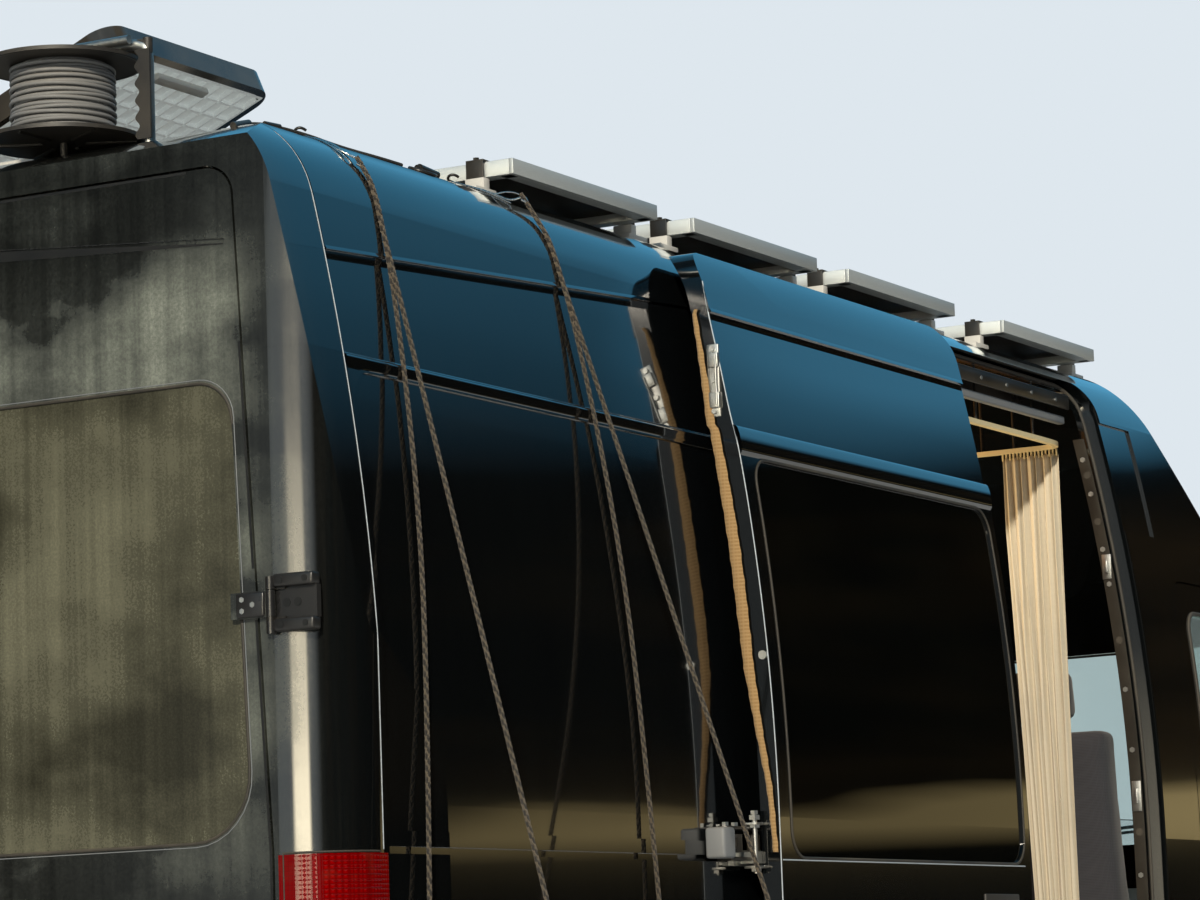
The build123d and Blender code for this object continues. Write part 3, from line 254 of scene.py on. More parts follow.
def makeCells():
    # solar cells: dark blue squares between thin silver lines, under glass
    material, tree, shader = newMaterial("solarCells", IOR=1.5, Coat_Weight=1.0, Coat_Roughness=0.04)
    place = placeOf(tree)
    split = addNode(tree, "SeparateXYZ", {0: place})
    cellSize, lineWidth, fingerGap = 0.158, 0.004, 0.026

    def lines(value, gap, width):
        share = calc(tree, "FRACT", calc(tree, "DIVIDE", value, gap))
        return calc(tree, "LESS_THAN", share, width / gap)

    grid = calc(tree, "MAXIMUM", lines(split.outputs[0], cellSize, lineWidth),
                lines(split.outputs[1], cellSize, lineWidth))
    fingers = lines(split.outputs[1], fingerGap, 0.0012)
    tone = noise(tree, place, 30.0, 3.0)
    shade = mix(tree, spread(tree, tone, 0.3, 0.7), colour(10, 14, 34), colour(18, 26, 58))
    shade = mix(tree, product(tree, fingers, 0.5), shade, colour(150, 156, 165))
    shade = mix(tree, grid, shade, colour(196, 200, 206))
    dust = spread(tree, noise(tree, place, 4.0, 6.0), 0.35, 0.8, 0.02, 0.30)
    feed(tree, shader, Base_Color=mix(tree, dust, shade, colour(150, 142, 124)),
         Roughness=spread(tree, dust, 0.0, 0.3, 0.12, 0.5))
    return material


def makeLamp(name, base, cell, seeThrough=0.35):
    # a moulded lamp cover with small square optics under the surface
    material, tree, shader = newMaterial(name, IOR=1.49, Roughness=0.06, Specular_IOR_Level=0.14,
                                         Transmission_Weight=seeThrough)
    place = placeOf(tree)
    optic = addNode(tree, "TexVoronoi", {"Vector": place, "Scale": 1 / cell, "Randomness": 0.0},
                    distance="CHEBYCHEV").outputs["Distance"]
    grime = noise(tree, place, 14.0, 5.0)
    shade = mix(tree, spread(tree, optic, 0.1, 0.5, 0.0, 0.8), base, darker(base, 0.35))
    feed(tree, shader, Base_Color=mix(tree, spread(tree, grime, 0.55, 0.8, 0.0, 0.12), shade,
                                      colour(110, 90, 70)))
    bump(tree, shader, optic, 0.0012, 0.5)
    return material


finish = {
    "paint": makePaint(),
    "rubber": makeTrim("sealRubber", colour(18, 18, 19), 0.62, 90.0, 0.0003, 0.10),
    "plastic": makeTrim("grainedPlastic", colour(24, 24, 26), 0.5, 420.0, 0.0002, 0.07),
    "satin": makeTrim("satinBlack", colour(14, 14, 15), 0.32, 200.0, 0.0001, 0.05),
    "hinge": makeTrim("hingeMetal", colour(26, 27, 29), 0.30, 160.0, 0.0001, 0.02),
    # pure black standing for painted shade in holes, gaps and creases
    "hole": makeTrim("holeShade", colour(3, 3, 3), 0.45, 300.0, 0.0001, 0.0),
    "tyre": makeTrim("tyreRubber", colour(27, 27, 28), 0.78, 70.0, 0.0005, 0.20),
    "darkGlass": makeDustyGlass("darkGlass", colour(4, 5, 5), 0.004, 0.10),
    "rearGlass": makeDustyGlass("rearGlass", colour(9, 10, 10), 0.27, 0.0),
    "clearGlass": makeDustyGlass("clearGlass", colour(205, 222, 218), 0.05, 0.92),
    "aluminium": makeMetal("brushedAluminium", colour(205, 207, 208), 0.34, (1, 40, 40), 40.0),
    "anodised": makeMetal("anodised", colour(196, 202, 202), 0.42, (1, 40, 40), 40.0, metallic=0.45),
    "zinc": makeMetal("zincSteel", colour(176, 178, 176), 0.42, (1, 1, 1), 60.0, colour(120, 96, 60), 0.35),
    "wire": makeMetal("brightWire", colour(226, 226, 222), 0.22, (1, 1, 1), 200.0),
    "wheelPaint": makeEnamel("wheelPaint", colour(118, 120, 122), 0.38, colour(92, 60, 38), 0.25),
    "frameSteel": makeEnamel("frameSteel", colour(34, 34, 35), 0.55, colour(84, 48, 28), 0.55),
    "castIron": makeEnamel("castIron", colour(78, 76, 74), 0.6, colour(88, 54, 34), 0.4),
    "exhaustSteel": makeMetal("exhaustSteel", colour(128, 120, 110), 0.5, (1, 1, 1), 30.0,
                              colour(96, 56, 34), 0.8),
    "discSteel": makeMetal("discSteel", colour(150, 148, 145), 0.35, (1, 1, 1), 120.0, colour(110, 66, 38),
                           0.4),
    "whitePlastic": makeTrim("whitePlastic", colour(205, 204, 198), 0.42, 300.0, 0.0001, 0.05),
    # the tray's glow is painted light, for daylight coming through the smoked lid
    "trayPlastic": makeTrim("trayPlastic", colour(208, 214, 212), 0.5, 300.0, 0.0001, 0.05, 0.26),
    "smokedPlastic": makeTrim("smokedPlastic", colour(20, 23, 28), 0.12, 300.0, 0.00003, 0.10),
    "greyRubber": makeTrim("greyCable", colour(118, 120, 122), 0.55, 300.0, 0.0001, 0.10),
    "cells": makeCells(),
    "redLamp": makeLamp("redLamp", colour(140, 0, 1), 0.009, 0.1),
    "clearLamp": makeLamp("clearLamp", colour(138, 146, 152), 0.016, 0.45),
    "amberLamp": makeLamp("amberLamp", colour(226, 120, 24), 0.009),
    "plywood": makeWood("plywood", colour(206, 168, 116), colour(160, 116, 70), (1, 9, 9), 0.42, True),
    "oak": makeWood("lightOak", colour(196, 158, 108), colour(140, 98, 58), (1, 9, 9)),
    "oakUpright": makeWood("oakUpright", colour(200, 164, 116), colour(146, 104, 64), (9, 9, 1)),
    "rope": makeCloth("ropeFibre", colour(74, 66, 54), colour(120, 108, 88), 2600.0),
    "ropeDark": makeCloth("ropeFleck", colour(28, 25, 22), colour(54, 48, 40), 2600.0),
    "curtain": makeCloth("curtainCloth", colour(190, 181, 160), colour(214, 206, 188), 900.0),
    "seat": makeCloth("seatCloth", colour(44, 46, 52), colour(64, 66, 74), 700.0),
    "mattress": makeCloth("mattressCloth", colour(186, 184, 176), colour(212, 210, 204), 600.0),
    # light grey enamel for thin lines of painted highlight along edges of the black paint
    "brightEdge": makeEnamel("brightEdge", colour(176, 186, 194), 0.25),
    "foam": makeCloth("foamStrip", colour(142, 112, 70), colour(178, 148, 104), 380.0),
    "greyCap": makeTrim("greyCap", colour(112, 118, 124), 0.45, 260.0, 0.0001, 0.10),
    "mirror": makeMetal("mirrorGlass", colour(214, 218, 220), 0.04, (1, 1, 1), 3.0),
    "plateWhite": makeTrim("plateWhite", colour(196, 196, 190), 0.35, 300.0, 0.0001, 0.06),
    "ivory": makeTrim("ivoryPlastic", colour(206, 192, 152), 0.4, 300.0, 0.0001, 0.03),
    "ceilingWood": makeWood("ceilingWood", colour(214, 160, 84), colour(168, 112, 52), (1, 9, 9)),
}
print("materials made")

nodeFinish = {
    "roof_panel side_panel_left side_panel_right roof_side_left roof_side_right pillar_right front_structure "
    "wing_left wing_right sliding_door bonnet front_door_left front_door_right rear_door_left "
    "rear_door_right": "paint",
    "front_bumper grille rear_bumper fuel_tank dashboard cable_reel": "plastic",
    "floor_pan chassis_frame front_axle rear_axle": "frameSteel",
    "windscreen front_door_left_glass front_door_right_glass": "clearGlass",
    "side_window_left sliding_door_glass": "darkGlass",
    "rear_door_left_glass rear_door_right_glass": "rearGlass",
    "headlamps": "clearLamp", "tail_lamps": "redLamp", "door_hinges": "satin",
    "door_rail": "zinc", "engine_block knuckle_left knuckle_right": "castIron",
    "exhaust": "exhaustSteel", "cab_seats": "seat", "kitchen_unit": "oak",
    "bed_platform side_table": "plywood", "mattress": "mattress", "curtain": "curtain",
    "solar_panels panel_rails": "aluminium", "hatch_frame": "whitePlastic",
    "reel_cable": "greyRubber", "ropes": "rope", "hatch_lid": "smokedPlastic",
}
finishOf = {name: chosen for names, chosen in nodeFinish.items() for name in names.split()}
for nodeName, nodeObject in nodes.items():
    kind = nodeName.split("_")[0]
    chosen = {"tyre": "tyre", "rim": "wheelPaint"}.get(kind) or finishOf[nodeName]
    nodeObject.data.materials.clear()
    nodeObject.data.materials.append(finish[chosen])
# a slot name for each finish; placePiece looks it up but gives it to no piece
finishSlots = {
    "body_paint": "paint brightEdge", "dark_trim": "rubber plastic greyCap",
    "black_plastic": "satin hinge hole",
    "tyre_rubber": "tyre", "window_glass": "mirror", "lamp_clear": "clearLamp darkGlass",
    "lamp_red": "redLamp amberLamp", "frame_aluminium": "aluminium anodised",
    "bare_steel": "zinc wire discSteel",
    "engine_iron": "castIron", "white_plastic": "whitePlastic trayPlastic plateWhite ivory",
    "cable_rubber": "greyRubber", "cell_glass": "cells", "light_wood": "oak oakUpright ceilingWood",
    "rope_fibre": "rope ropeDark", "curtain_cloth": "curtain", "seat_fabric": "seat",
    "mattress_cloth": "mattress foam",
}
slotOf = {name: slot for slot, names in finishSlots.items() for name in names.split()}
print("materials given to the CAD nodes")


# Camera, light and floor

view = {"place": (-9.6451, -4.9858, 0.9262), "yaw": 28.697, "pitch": 7.822, "roll": -2.049,
        "lens": 118.64, "sensor": 36.0}


def makeCamera():
    yaw, pitch, roll = (math.radians(view[key]) for key in ("yaw", "pitch", "roll"))
    ahead = Vector((math.cos(pitch) * math.cos(yaw), math.cos(pitch) * math.sin(yaw), math.sin(pitch)))
    right = Vector((math.sin(yaw), -math.cos(yaw), 0))
    up = right.cross(ahead)
    tiltedRight = math.cos(roll) * right + math.sin(roll) * up
    tiltedUp = math.cos(roll) * up - math.sin(roll) * right
    turn = Matrix((tiltedRight, tiltedUp, -ahead)).transposed()
    data = bpy.data.cameras.new("photoCamera")
    data.sensor_width, data.lens = view["sensor"], view["lens"]
    data.clip_start, data.clip_end = 0.1, 400
    camera = bpy.data.objects.new("photoCamera", data)
    camera.matrix_world = Matrix.Translation(view["place"]) @ turn.to_4x4()
    bpy.context.scene.collection.objects.link(camera)
    bpy.context.scene.camera = camera


studio = {"zenith": (0.028, 0.20, 0.36, 1.0), "haze": (0.11, 0.43, 0.70, 1.0), "glow": 15.0,
          "floor": colour(214, 190, 132), "flag": colour(9, 8, 5), "mid": colour(52, 40, 22),
          "warm": colour(255, 240, 205), "behind": colour(226, 236, 238), "backdrop": colour(222, 231, 238),
          "soft": colour(206, 222, 236), "fill": 0.40, "sunStrength": 3.4, "sunFrom": (-0.84, -0.36, 0.40),
          "sunAngle": 3.0, "sunColour": (1.0, 0.90, 0.74), "insidePower": 22.0, "insideSize": 0.7,
          "insideColour": (1.0, 0.78, 0.46), "insidePlace": (0.35, 0.10, 1.70), "floorRadius": 40.0}


def makeWorld():
    # reflections see a blue upper sky, a bright low light behind and dark walls at the sides
    world = bpy.data.worlds.new("studioWorld")
    bpy.context.scene.world = world
    world.use_nodes = True
    tree = world.node_tree
    tree.nodes.clear()
    way = addNode(tree, "TexCoord").outputs["Generated"]
    split = addNode(tree, "SeparateXYZ", {0: way})
    up = split.outputs[2]
    sky = mix(tree, spread(tree, up, 0.35, 0.95), studio["haze"], studio["zenith"])
    blotch = noise(tree, addNode(tree, "Mapping", {"Vector": way, "Scale": (1, 1, 2.2)}).outputs[0], 5.0,
                   4.0)
    dark = mix(tree, spread(tree, blotch, 0.45, 0.70), studio["flag"], studio["mid"])
    edge = calc(tree, "ADD", up, product(tree, blotch, 0.10))
    edge = calc(tree, "SUBTRACT", edge, product(tree, split.outputs[0], 0.45))
    band = product(tree, spread(tree, edge, -0.292, -0.312), spread(tree, up, 0.033, 0.039))
    sand = mix(tree, band, dark, studio["floor"])
    behind = spread(tree, split.outputs[0], -0.80, -0.90)
    low = mix(tree, behind, sand, studio["behind"])
    steep = spread(tree, split.outputs[0], 0.865, 0.925, 4.7, 36.0)
    lean = calc(tree, "DIVIDE", split.outputs[1], split.outputs[0])
    skyShare = product(tree, calc(tree, "SUBTRACT", up, 0.25), steep, clamp=True)
    skyShare = product(tree, skyShare, spread(tree, lean, -1.0, -0.66, 0.12, 1.0))
    seen = mix(tree, skyShare, low, sky)
    # a narrow bright card straight behind, which the rear corners show as an upright streak
    card = product(tree, spread(tree, split.outputs[0], -0.90, -0.94),
                   spread(tree, split.outputs[1], 0.16, 0.06),
                   spread(tree, split.outputs[1], -0.38, -0.30),
                   spread(tree, up, 0.03, 0.15, studio["glow"], 0.22))
    shine = addNode(tree, "VectorMath", {0: studio["warm"][:3], "Scale": card},
                    operation="SCALE").outputs[0]
    seen = addNode(tree, "VectorMath", {0: seen, 1: shine}, operation="ADD").outputs[0]
    rays = addNode(tree, "LightPath")
    reflect = addNode(tree, "Background", {"Color": seen, "Strength": 1.0}).outputs[0]
    soft = addNode(tree, "Background", {"Color": studio["soft"], "Strength": studio["fill"]}).outputs[0]
    plain = addNode(tree, "Background", {"Color": studio["backdrop"], "Strength": 1.0}).outputs[0]
    mirrorOrSoft = addNode(tree, "MixShader", {0: rays.outputs["Is Glossy Ray"], 1: soft, 2: reflect})
    through = addNode(tree, "MixShader", {0: rays.outputs["Is Transmission Ray"],
                                          1: mirrorOrSoft.outputs[0], 2: plain})
    shown = addNode(tree, "MixShader", {0: rays.outputs["Is Camera Ray"], 1: through.outputs[0],
                                        2: plain})
    addNode(tree, "OutputWorld", {0: shown.outputs[0]})


def makeLights():
    sun = bpy.data.lights.new("softSun", "SUN")
    sun.energy, sun.angle = studio["sunStrength"], math.radians(studio["sunAngle"])
    sun.color = studio["sunColour"]
    lamp = bpy.data.objects.new("softSun", sun)
    lamp.matrix_world = Vector(studio["sunFrom"]).to_track_quat("Z", "Y").to_matrix().to_4x4()
    bpy.context.scene.collection.objects.link(lamp)
    # daylight that has bounced about inside the living space
    inside = bpy.data.lights.new("insideGlow", "AREA")
    inside.shape, inside.size = "DISK", studio["insideSize"]
    inside.energy, inside.color = studio["insidePower"], studio["insideColour"]
    glow = bpy.data.objects.new("insideGlow", inside)
    glow.location = studio["insidePlace"]
    glow.rotation_euler = (math.pi, 0, 0)
    glow.visible_camera = glow.visible_glossy = glow.visible_transmission = False
    bpy.context.scene.collection.objects.link(glow)


def makeFloor():
    bm = bmesh.new()
    bmesh.ops.create_circle(bm, cap_ends=True, cap_tris=False, segments=96, radius=studio["floorRadius"])
    mesh = bpy.data.meshes.new("studioFloor")
    bm.to_mesh(mesh)
    bm.free()
    floor = bpy.data.objects.new("studioFloor", mesh)
    bpy.context.scene.collection.objects.link(floor)
    material, tree, shader = newMaterial("floorPaint", Roughness=0.8)
    shade = mix(tree, noise(tree, placeOf(tree), 0.8, 4.0), colour(222, 221, 218), colour(230, 229, 226))
    feed(tree, shader, Base_Color=shade)
    mesh.materials.append(material)


makeCamera()
makeWorld()
makeLights()
makeFloor()
bpy.context.scene.view_settings.view_transform = "Standard"
print("camera, lights and floor made")


# Tools for pieces

def newPiece(bm, name, look, body="root", smooth=35.0, replaced=()):
    # closes a bmesh into a finished piece on its body
    bmesh.ops.recalc_face_normals(bm, faces=bm.faces)
    mesh = bpy.data.meshes.new(name)
    bm.to_mesh(mesh)
    bm.free()
    return placePiece(mesh, name, look, body, smooth, replaced)


def placePiece(mesh, name, look, body="root", smooth=35.0, replaced=()):
    # a look is a finish's name, or a finish and a slot where the slot isn't the finish's own; the slot is not
    # used
    chosen, slot = look if isinstance(look, tuple) else (look, slotOf[look])
    mesh.materials.clear()
    mesh.materials.append(finish[chosen])
    if smooth:
        mesh.shade_smooth()
        mesh.set_sharp_from_angle(angle=math.radians(smooth))
    piece = bpy.data.objects.new(name, mesh)
    bpy.context.scene.collection.objects.link(piece)
    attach(piece, body)
    if replaced:
        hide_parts(*replaced)
    return piece


def box(bm, one, other, bevel=0.0, segments=2):
    # a block between two corners in any order, with rounded edges
    low = Vector([min(pair) for pair in zip(one, other)])
    high = Vector([max(pair) for pair in zip(one, other)])
    verts = bmesh.ops.create_cube(bm, size=1.0)["verts"]
    bmesh.ops.scale(bm, verts=verts, vec=high - low)
    bmesh.ops.translate(bm, verts=verts, vec=(low + high) / 2)
    if bevel:
        edges = {edge for vert in verts for edge in vert.link_edges}
        bmesh.ops.bevel(bm, geom=list(edges), offset=bevel, segments=segments, profile=0.5,
                        affect="EDGES", clamp_overlap=True)


def rod(bm, start, end, radius, segments=16, endRadius=None):
    start, end = Vector(start), Vector(end)
    turn = (end - start).to_track_quat("Z", "Y").to_matrix().to_4x4()
    bmesh.ops.create_cone(bm, cap_ends=True, segments=segments, radius1=radius,
                          radius2=radius if endRadius is None else endRadius, depth=(end - start).length,
                          matrix=Matrix.Translation((start + end) / 2) @ turn)


def build(name, look, parts, body="root", turn=None, smooth=35.0, replaced=()):
    # a piece from parts, each a shape (box or rod) with its values
    bm = bmesh.new()
    for shape, *values in parts:
        shape(bm, *values)
    if turn:
        bmesh.ops.transform(bm, verts=bm.verts, matrix=turn)
    newPiece(bm, name, look, body, smooth, replaced)


def linesMesh(paths, radius, closed=False, kind="NURBS", sides=2):
    # tubes along paths of points, as one mesh
    curve = bpy.data.curves.new("path", "CURVE")
    curve.dimensions = "3D"
    curve.bevel_depth, curve.bevel_resolution = radius, sides
    curve.resolution_u = 6
    curve.use_fill_caps = True
    for points in paths:
        line = curve.splines.new(kind)
        line.points.add(len(points) - 1)
        for spot, point in zip(line.points, points):
            spot.co = (*point, 1.0)
        line.use_cyclic_u = closed
        if kind == "NURBS":
            line.order_u = 3
            line.use_endpoint_u = not closed
        line.use_smooth = True
    holder = bpy.data.objects.new("path", curve)
    shape = evaluated(holder)
    bpy.data.curves.remove(curve)
    return shape


def evaluated(holder):
    # the mesh that a helper object gives with its modifiers; the helper is removed
    if not holder.users_collection:
        bpy.context.scene.collection.objects.link(holder)
    shape = bpy.data.meshes.new_from_object(holder.evaluated_get(bpy.context.evaluated_depsgraph_get()))
    bpy.data.objects.remove(holder)
    return shape


def tubes(name, paths, radius, look, body="root", closed=False, kind="NURBS", replaced=(), sides=2):
    mesh = linesMesh(paths, radius, closed, kind, sides)
    mesh.name = name
    placePiece(mesh, name, look, body, 50.0, replaced)


def ringTube(name, spots, radius, look, body="root", sides=2):
    tubes(name, [spots], radius, look, body, closed=True, kind="POLY", sides=sides)


def curvePoints(points):
    # places along a smooth line through given points, evenly enough for strands
    mesh = linesMesh([points], 0.0)
    places = [v.co.copy() for v in mesh.vertices]
    bpy.data.meshes.remove(mesh)
    return places


def circle(x, y, radius, steps):
    turns = [2 * math.pi * k / steps for k in range(steps)]
    return [(x + radius * math.cos(turn), y + radius * math.sin(turn)) for turn in turns]


def steps(start, end, count):
    # evenly spaced values from start to end, with both
    return [start + (end - start) * k / (count - 1) for k in range(count)]


def roundedOutline(corners, arcSteps=5):
    # (across, up, radius) corners as points, with each corner an arc
    spots = []
    for i, (x, y, radius) in enumerate(corners):
        here = Vector((x, y))
        before = (Vector(corners[i - 1][:2]) - here).normalized()
        after = (Vector(corners[(i + 1) % len(corners)][:2]) - here).normalized()
        if radius <= 0:
            spots.append(here)
            continue
        half = before.angle(after) / 2
        middle = here + (before + after).normalized() * (radius / math.sin(half))
        start = here + before * (radius / math.tan(half)) - middle
        turn = start.angle_signed(here + after * (radius / math.tan(half)) - middle)
        spots += [middle + Matrix.Rotation(-turn * step / arcSteps, 2) @ start
                  for step in range(arcSteps + 1)]
    return spots


def densify(spots, gap):
    # more points along the straight stretches of an outline
    dense = []
    for spot, onward in zip(spots, spots[1:] + spots[:1]):
        count = int((onward - spot).length // gap)
        dense += [spot] + [spot.lerp(onward, (k + 1) / (count + 1)) for k in range(count)]
    return dense


def grown(outline, amount):
    # an outline's points moved away from its middle, square to the line
    moved = []
    area = sum(a.x * b.y - b.x * a.y for a, b in zip(outline, outline[1:] + outline[:1]))
    sign = 1 if area > 0 else -1
    for i, spot in enumerate(outline):
        along = (outline[(i + 1) % len(outline)] - outline[i - 1]).normalized()
        moved.append(spot + Vector((along.y, -along.x)) * amount * sign)
    return moved


skins = {}


def skinOf(*names):
    # a search tree over the faces of some CAD nodes
    if names not in skins:
        points, faces = [], []
        for each in names:
            mesh = nodes[each].data
            start = len(points)
            points += [v.co.copy() for v in mesh.vertices]
            faces += [[start + i for i in p.vertices] for p in mesh.polygons]
        skins[names] = BVHTree.FromPolygons(points, faces)
    return skins[names]


def touch(skin, start, way):
    # where a straight probe first meets a skin, and the skin's outward normal there
    way = Vector(way).normalized()
    spot, normal, _, _ = skin.ray_cast(Vector(start), way)
    if spot is not None and normal.dot(way) > 0:
        normal = -normal
    return spot, normal


def touchSide(skin, x, z, k):
    return touch(skin, (x, k * 2.0, z), (0, -k, 0))


def touchFront(skin, y, z):
    return touch(skin, (6.0, y, z), (-1, 0, 0))


def touchRear(skin, y, z):
    return touch(skin, (-5.0, y, z), (1, 0, 0))


def lifted(found, lift):
    # probed places moved out from the skin; probes that met nothing are left out
    return [spot + normal * lift for spot, normal in found if spot is not None]


def onSide(skin, spots, k, lift=0.0):
    # outline points (X, Z) laid on the left (k = 1) or right (k = -1) side
    return lifted([touchSide(skin, x, z, k) for x, z in spots], lift)


def onRear(skin, spots, lift=0.0):
    return lifted([touchRear(skin, y, z) for y, z in spots], lift)


def onFront(skin, spots, lift=0.0):
    return lifted([touchFront(skin, y, z) for y, z in spots], lift)


def overRoof(spots, lift):
    return lifted([touch(skinOf("roof_panel"), (x, y, 4.0), (0, 0, -1)) for x, y in spots], lift)


print("tools ready")


# Braided ropes, from the hooks on the shoulder down to the side table
ropeLook = {
    "strandRadius": 0.00155, "core": 0.0034, "wave": 0.0007, "pitch": 0.046, "perDirection": 4,
    "gap": 0.0034,
    "knotTurns": 3, "knotReach": 0.0062, "knotCord": 0.0045, "knotTop": 0.005, "knotLong": 0.017,
    "tail": (0.005, 0.002, -0.0135),
    "pairs": [(-3.0000, -0.8120, 2.6170, -3.1400), (-2.2980, -0.7900, 2.6580, -2.1900)],
    "innerBends": [(-0.8295, 2.5918), (-0.8614, 2.5336), (-0.9105, 2.3154), (-0.9683, 1.9381),
                   (-0.9996, 1.5576)],
    "outerBends": [(-0.8284, 2.5924), (-0.8573, 2.5423)],
    "innerFoot": (-1.0160, 1.0130), "outerFoot": (-1.2980, 1.0130),
}


def ropeRoute(pair, bends, foot):
    topX, topY, topZ, footX = pair
    across = [(topY, topZ)] + bends + [foot]
    drop = topZ - foot[1]
    return [(topX + (footX - topX) * (topZ - z) / drop, y, z) for y, z in across]


def evenly(places, gap):
    # points a set distance apart along a line
    spaced, left = [places[0].copy()], gap
    for start, end in zip(places, places[1:]):
        run = (end - start).length
        while run >= left and run > 0:
            start = start.lerp(end, left / run)
            spaced.append(start.copy())
            run, left = run - left, gap
        left -= run
    return spaced


def frameAlong(places):
    # two directions across a line at each of its points, turning as little as may be
    side = Vector((0, 0, 1)).cross(places[1] - places[0])
    side = side if side.length > 1e-6 else Vector((1, 0, 0))
    frames = []
    for i in range(len(places)):
        ahead = (places[min(i + 1, len(places) - 1)] - places[max(i - 1, 0)]).normalized()
        side = (side - ahead * side.dot(ahead)).normalized()
        frames.append((side.copy(), ahead.cross(side)))
    return frames


def braid(route, look):
    # strands that wind both ways and pass over and under each other
    places = evenly(curvePoints(route), look["gap"])
    frames = frameAlong(places)
    strands = []
    for way in (1, -1):
        for k in range(look["perDirection"]):
            path = []
            for i, (place, (side, other)) in enumerate(zip(places, frames)):
                turn = 2 * math.pi * i * look["gap"] / look["pitch"]
                angle = way * turn + 2 * math.pi * k / look["perDirection"]
                reach = look["core"] + way * look["wave"] * math.cos(look["perDirection"] * turn)
                path.append(place + (side * math.cos(angle) + other * math.sin(angle)) * reach)
            strands.append(path)
    return strands


def knotAt(foot, look):
    x, y, z = foot
    count = look["knotTurns"] * 12
    turns = [(x + look["knotReach"] * math.cos(k * math.pi / 6),
              y + look["knotReach"] * math.sin(k * math.pi / 6),
              z + look["knotTop"] - look["knotLong"] * (k / count)) for k in range(count + 1)]
    tailX, tailY, tailZ = look["tail"]
    return turns + [(x + tailX, y + tailY, z + tailZ)]


def makeRopes():
    look = ropeLook
    for i, pair in enumerate(look["pairs"]):
        for part in ("inner", "outer"):
            route = ropeRoute(pair, look[part + "Bends"], look[part + "Foot"])
            strands = braid(route, look)
            name = f"rope{part.capitalize()}{i + 1}"
            for more, first, cloth in (("", 0, "rope"), ("Dark", 1, "ropeDark")):
                tubes(name + more, strands[first::2], look["strandRadius"], cloth, kind="POLY",
                      replaced=("ropes",), sides=1)
            tubes(name + "Knot", [knotAt(route[-1], look)], look["knotCord"], "rope",
                  replaced=("ropes",), sides=3)


makeRopes()
print("ropes braided")


# Wire hooks on the shoulder, the ring and the cable that lies along the roof's edge
hookLook = {
    "wire": 0.0026, "thin": 0.0017, "lift": 0.0032,
    "leans": (("Rear", 0.012, 0.125), ("Front", -0.105, 0.092)),
    "eye": [(-0.010, -0.006, -0.016), (-0.004, -0.013, -0.022), (0.006, -0.013, -0.018),
            (0.008, -0.004, -0.004)],
    "curl": [(0, 0, 0), (-0.012, 0.010, 0.004), (-0.022, 0.004, 0.013), (-0.018, -0.010, 0.016),
             (-0.008, -0.014, 0.010)],
    "link": [(-0.012, -0.002, -0.004), (-0.030, 0.010, 0.006)],
    "cable": 0.0040, "cableStart": -3.26, "cableLong": 0.62, "cableY": -0.690, "ring": (-2.561, -0.700),
}


def beside(place, offsets):
    return [Vector(place) + Vector(offset) for offset in offsets]


def makeHooks():
    look = hookLook
    for pair, (end, lean, reach) in zip(ropeLook["pairs"], look["leans"]):
        x, y = pair[:2]
        name = "hook" + end
        climb = overRoof([(x + lean * t, y + 0.012 + reach * t) for t in (0.1, 0.35, 0.65, 1.0)],
                         look["lift"])
        tubes(name, [beside(pair[:3], look["eye"]) + climb], look["wire"], "wire", sides=3)
        tubes(name + "Curl", [beside(climb[-1], look["curl"])], look["wire"] * 1.15, "satin", sides=3)
        second = overRoof([(x - 0.030 + lean * t, y + 0.010 + reach * 0.9 * t)
                           for t in (0.0, 0.3, 0.6, 1.0)], look["thin"] + 0.001)
        for more, path in (("Thin", second), ("Link", beside(pair[:3], look["link"]) + second[1:2])):
            tubes(name + more, [path], look["thin"], "wire", sides=2)
    edge = overRoof([(look["cableStart"] + look["cableLong"] * t / 7,
                      look["cableY"] + 0.010 * math.sin(t * 1.7))
                     for t in range(8)], 0.0045)
    tubes("roofCable", [edge], look["cable"], ("rubber", "black_plastic"), sides=3)
    build("roofCableSleeves", "satin", [
        (rod, start, start.lerp(end, 0.75), 0.0075, 12)
        for start, end in ((edge[0], edge[1]), (edge[1].lerp(edge[2], 0.35), edge[2]))])
    middle = overRoof([look["ring"]], 0.004)[0]
    ring = [middle + Vector((0.034 * math.cos(a), 0.026 * math.sin(a), 0.010 * math.sin(a)))
            for a in (math.pi * k / 6 for k in range(12))]
    tubes("roofRing", [ring], look["cable"], "satin", closed=True, sides=3)
    cap = middle + Vector((0.018, 0.020, 0.012))
    build("roofRingCap", "satin", [
        (rod, cap, cap + Vector((0.060, -0.010, -0.006)), 0.011, 20, 0.008),
        (rod, cap + Vector((-0.008, 0.001, 0.001)), cap, 0.007, 16)])


makeHooks()
print("hooks, ring and roof cable made")


# Seams, pressings and trims laid on the body's skin

def laid(name, columns, rows, place, look, body="root"):
    # a strip of columns by rows of faces, each corner placed by its share along and across
    bm = bmesh.new()
    bmesh.ops.create_grid(bm, x_segments=columns, y_segments=rows, size=0.5)
    lost = []
    for vert in bm.verts:
        spot = place(vert.co.x + 0.5, vert.co.y + 0.5)
        if spot is None:
            lost.append(vert)
        else:
            vert.co = spot
    bmesh.ops.delete(bm, geom=lost, context="VERTS")
    newPiece(bm, name, look, body, 60.0)


def share(values, t):
    # the value at a share along a list, in between by straight lines
    at = t * (len(values) - 1)
    i = min(int(at), len(values) - 2)
    return values[i] + (values[i + 1] - values[i]) * (at - i)


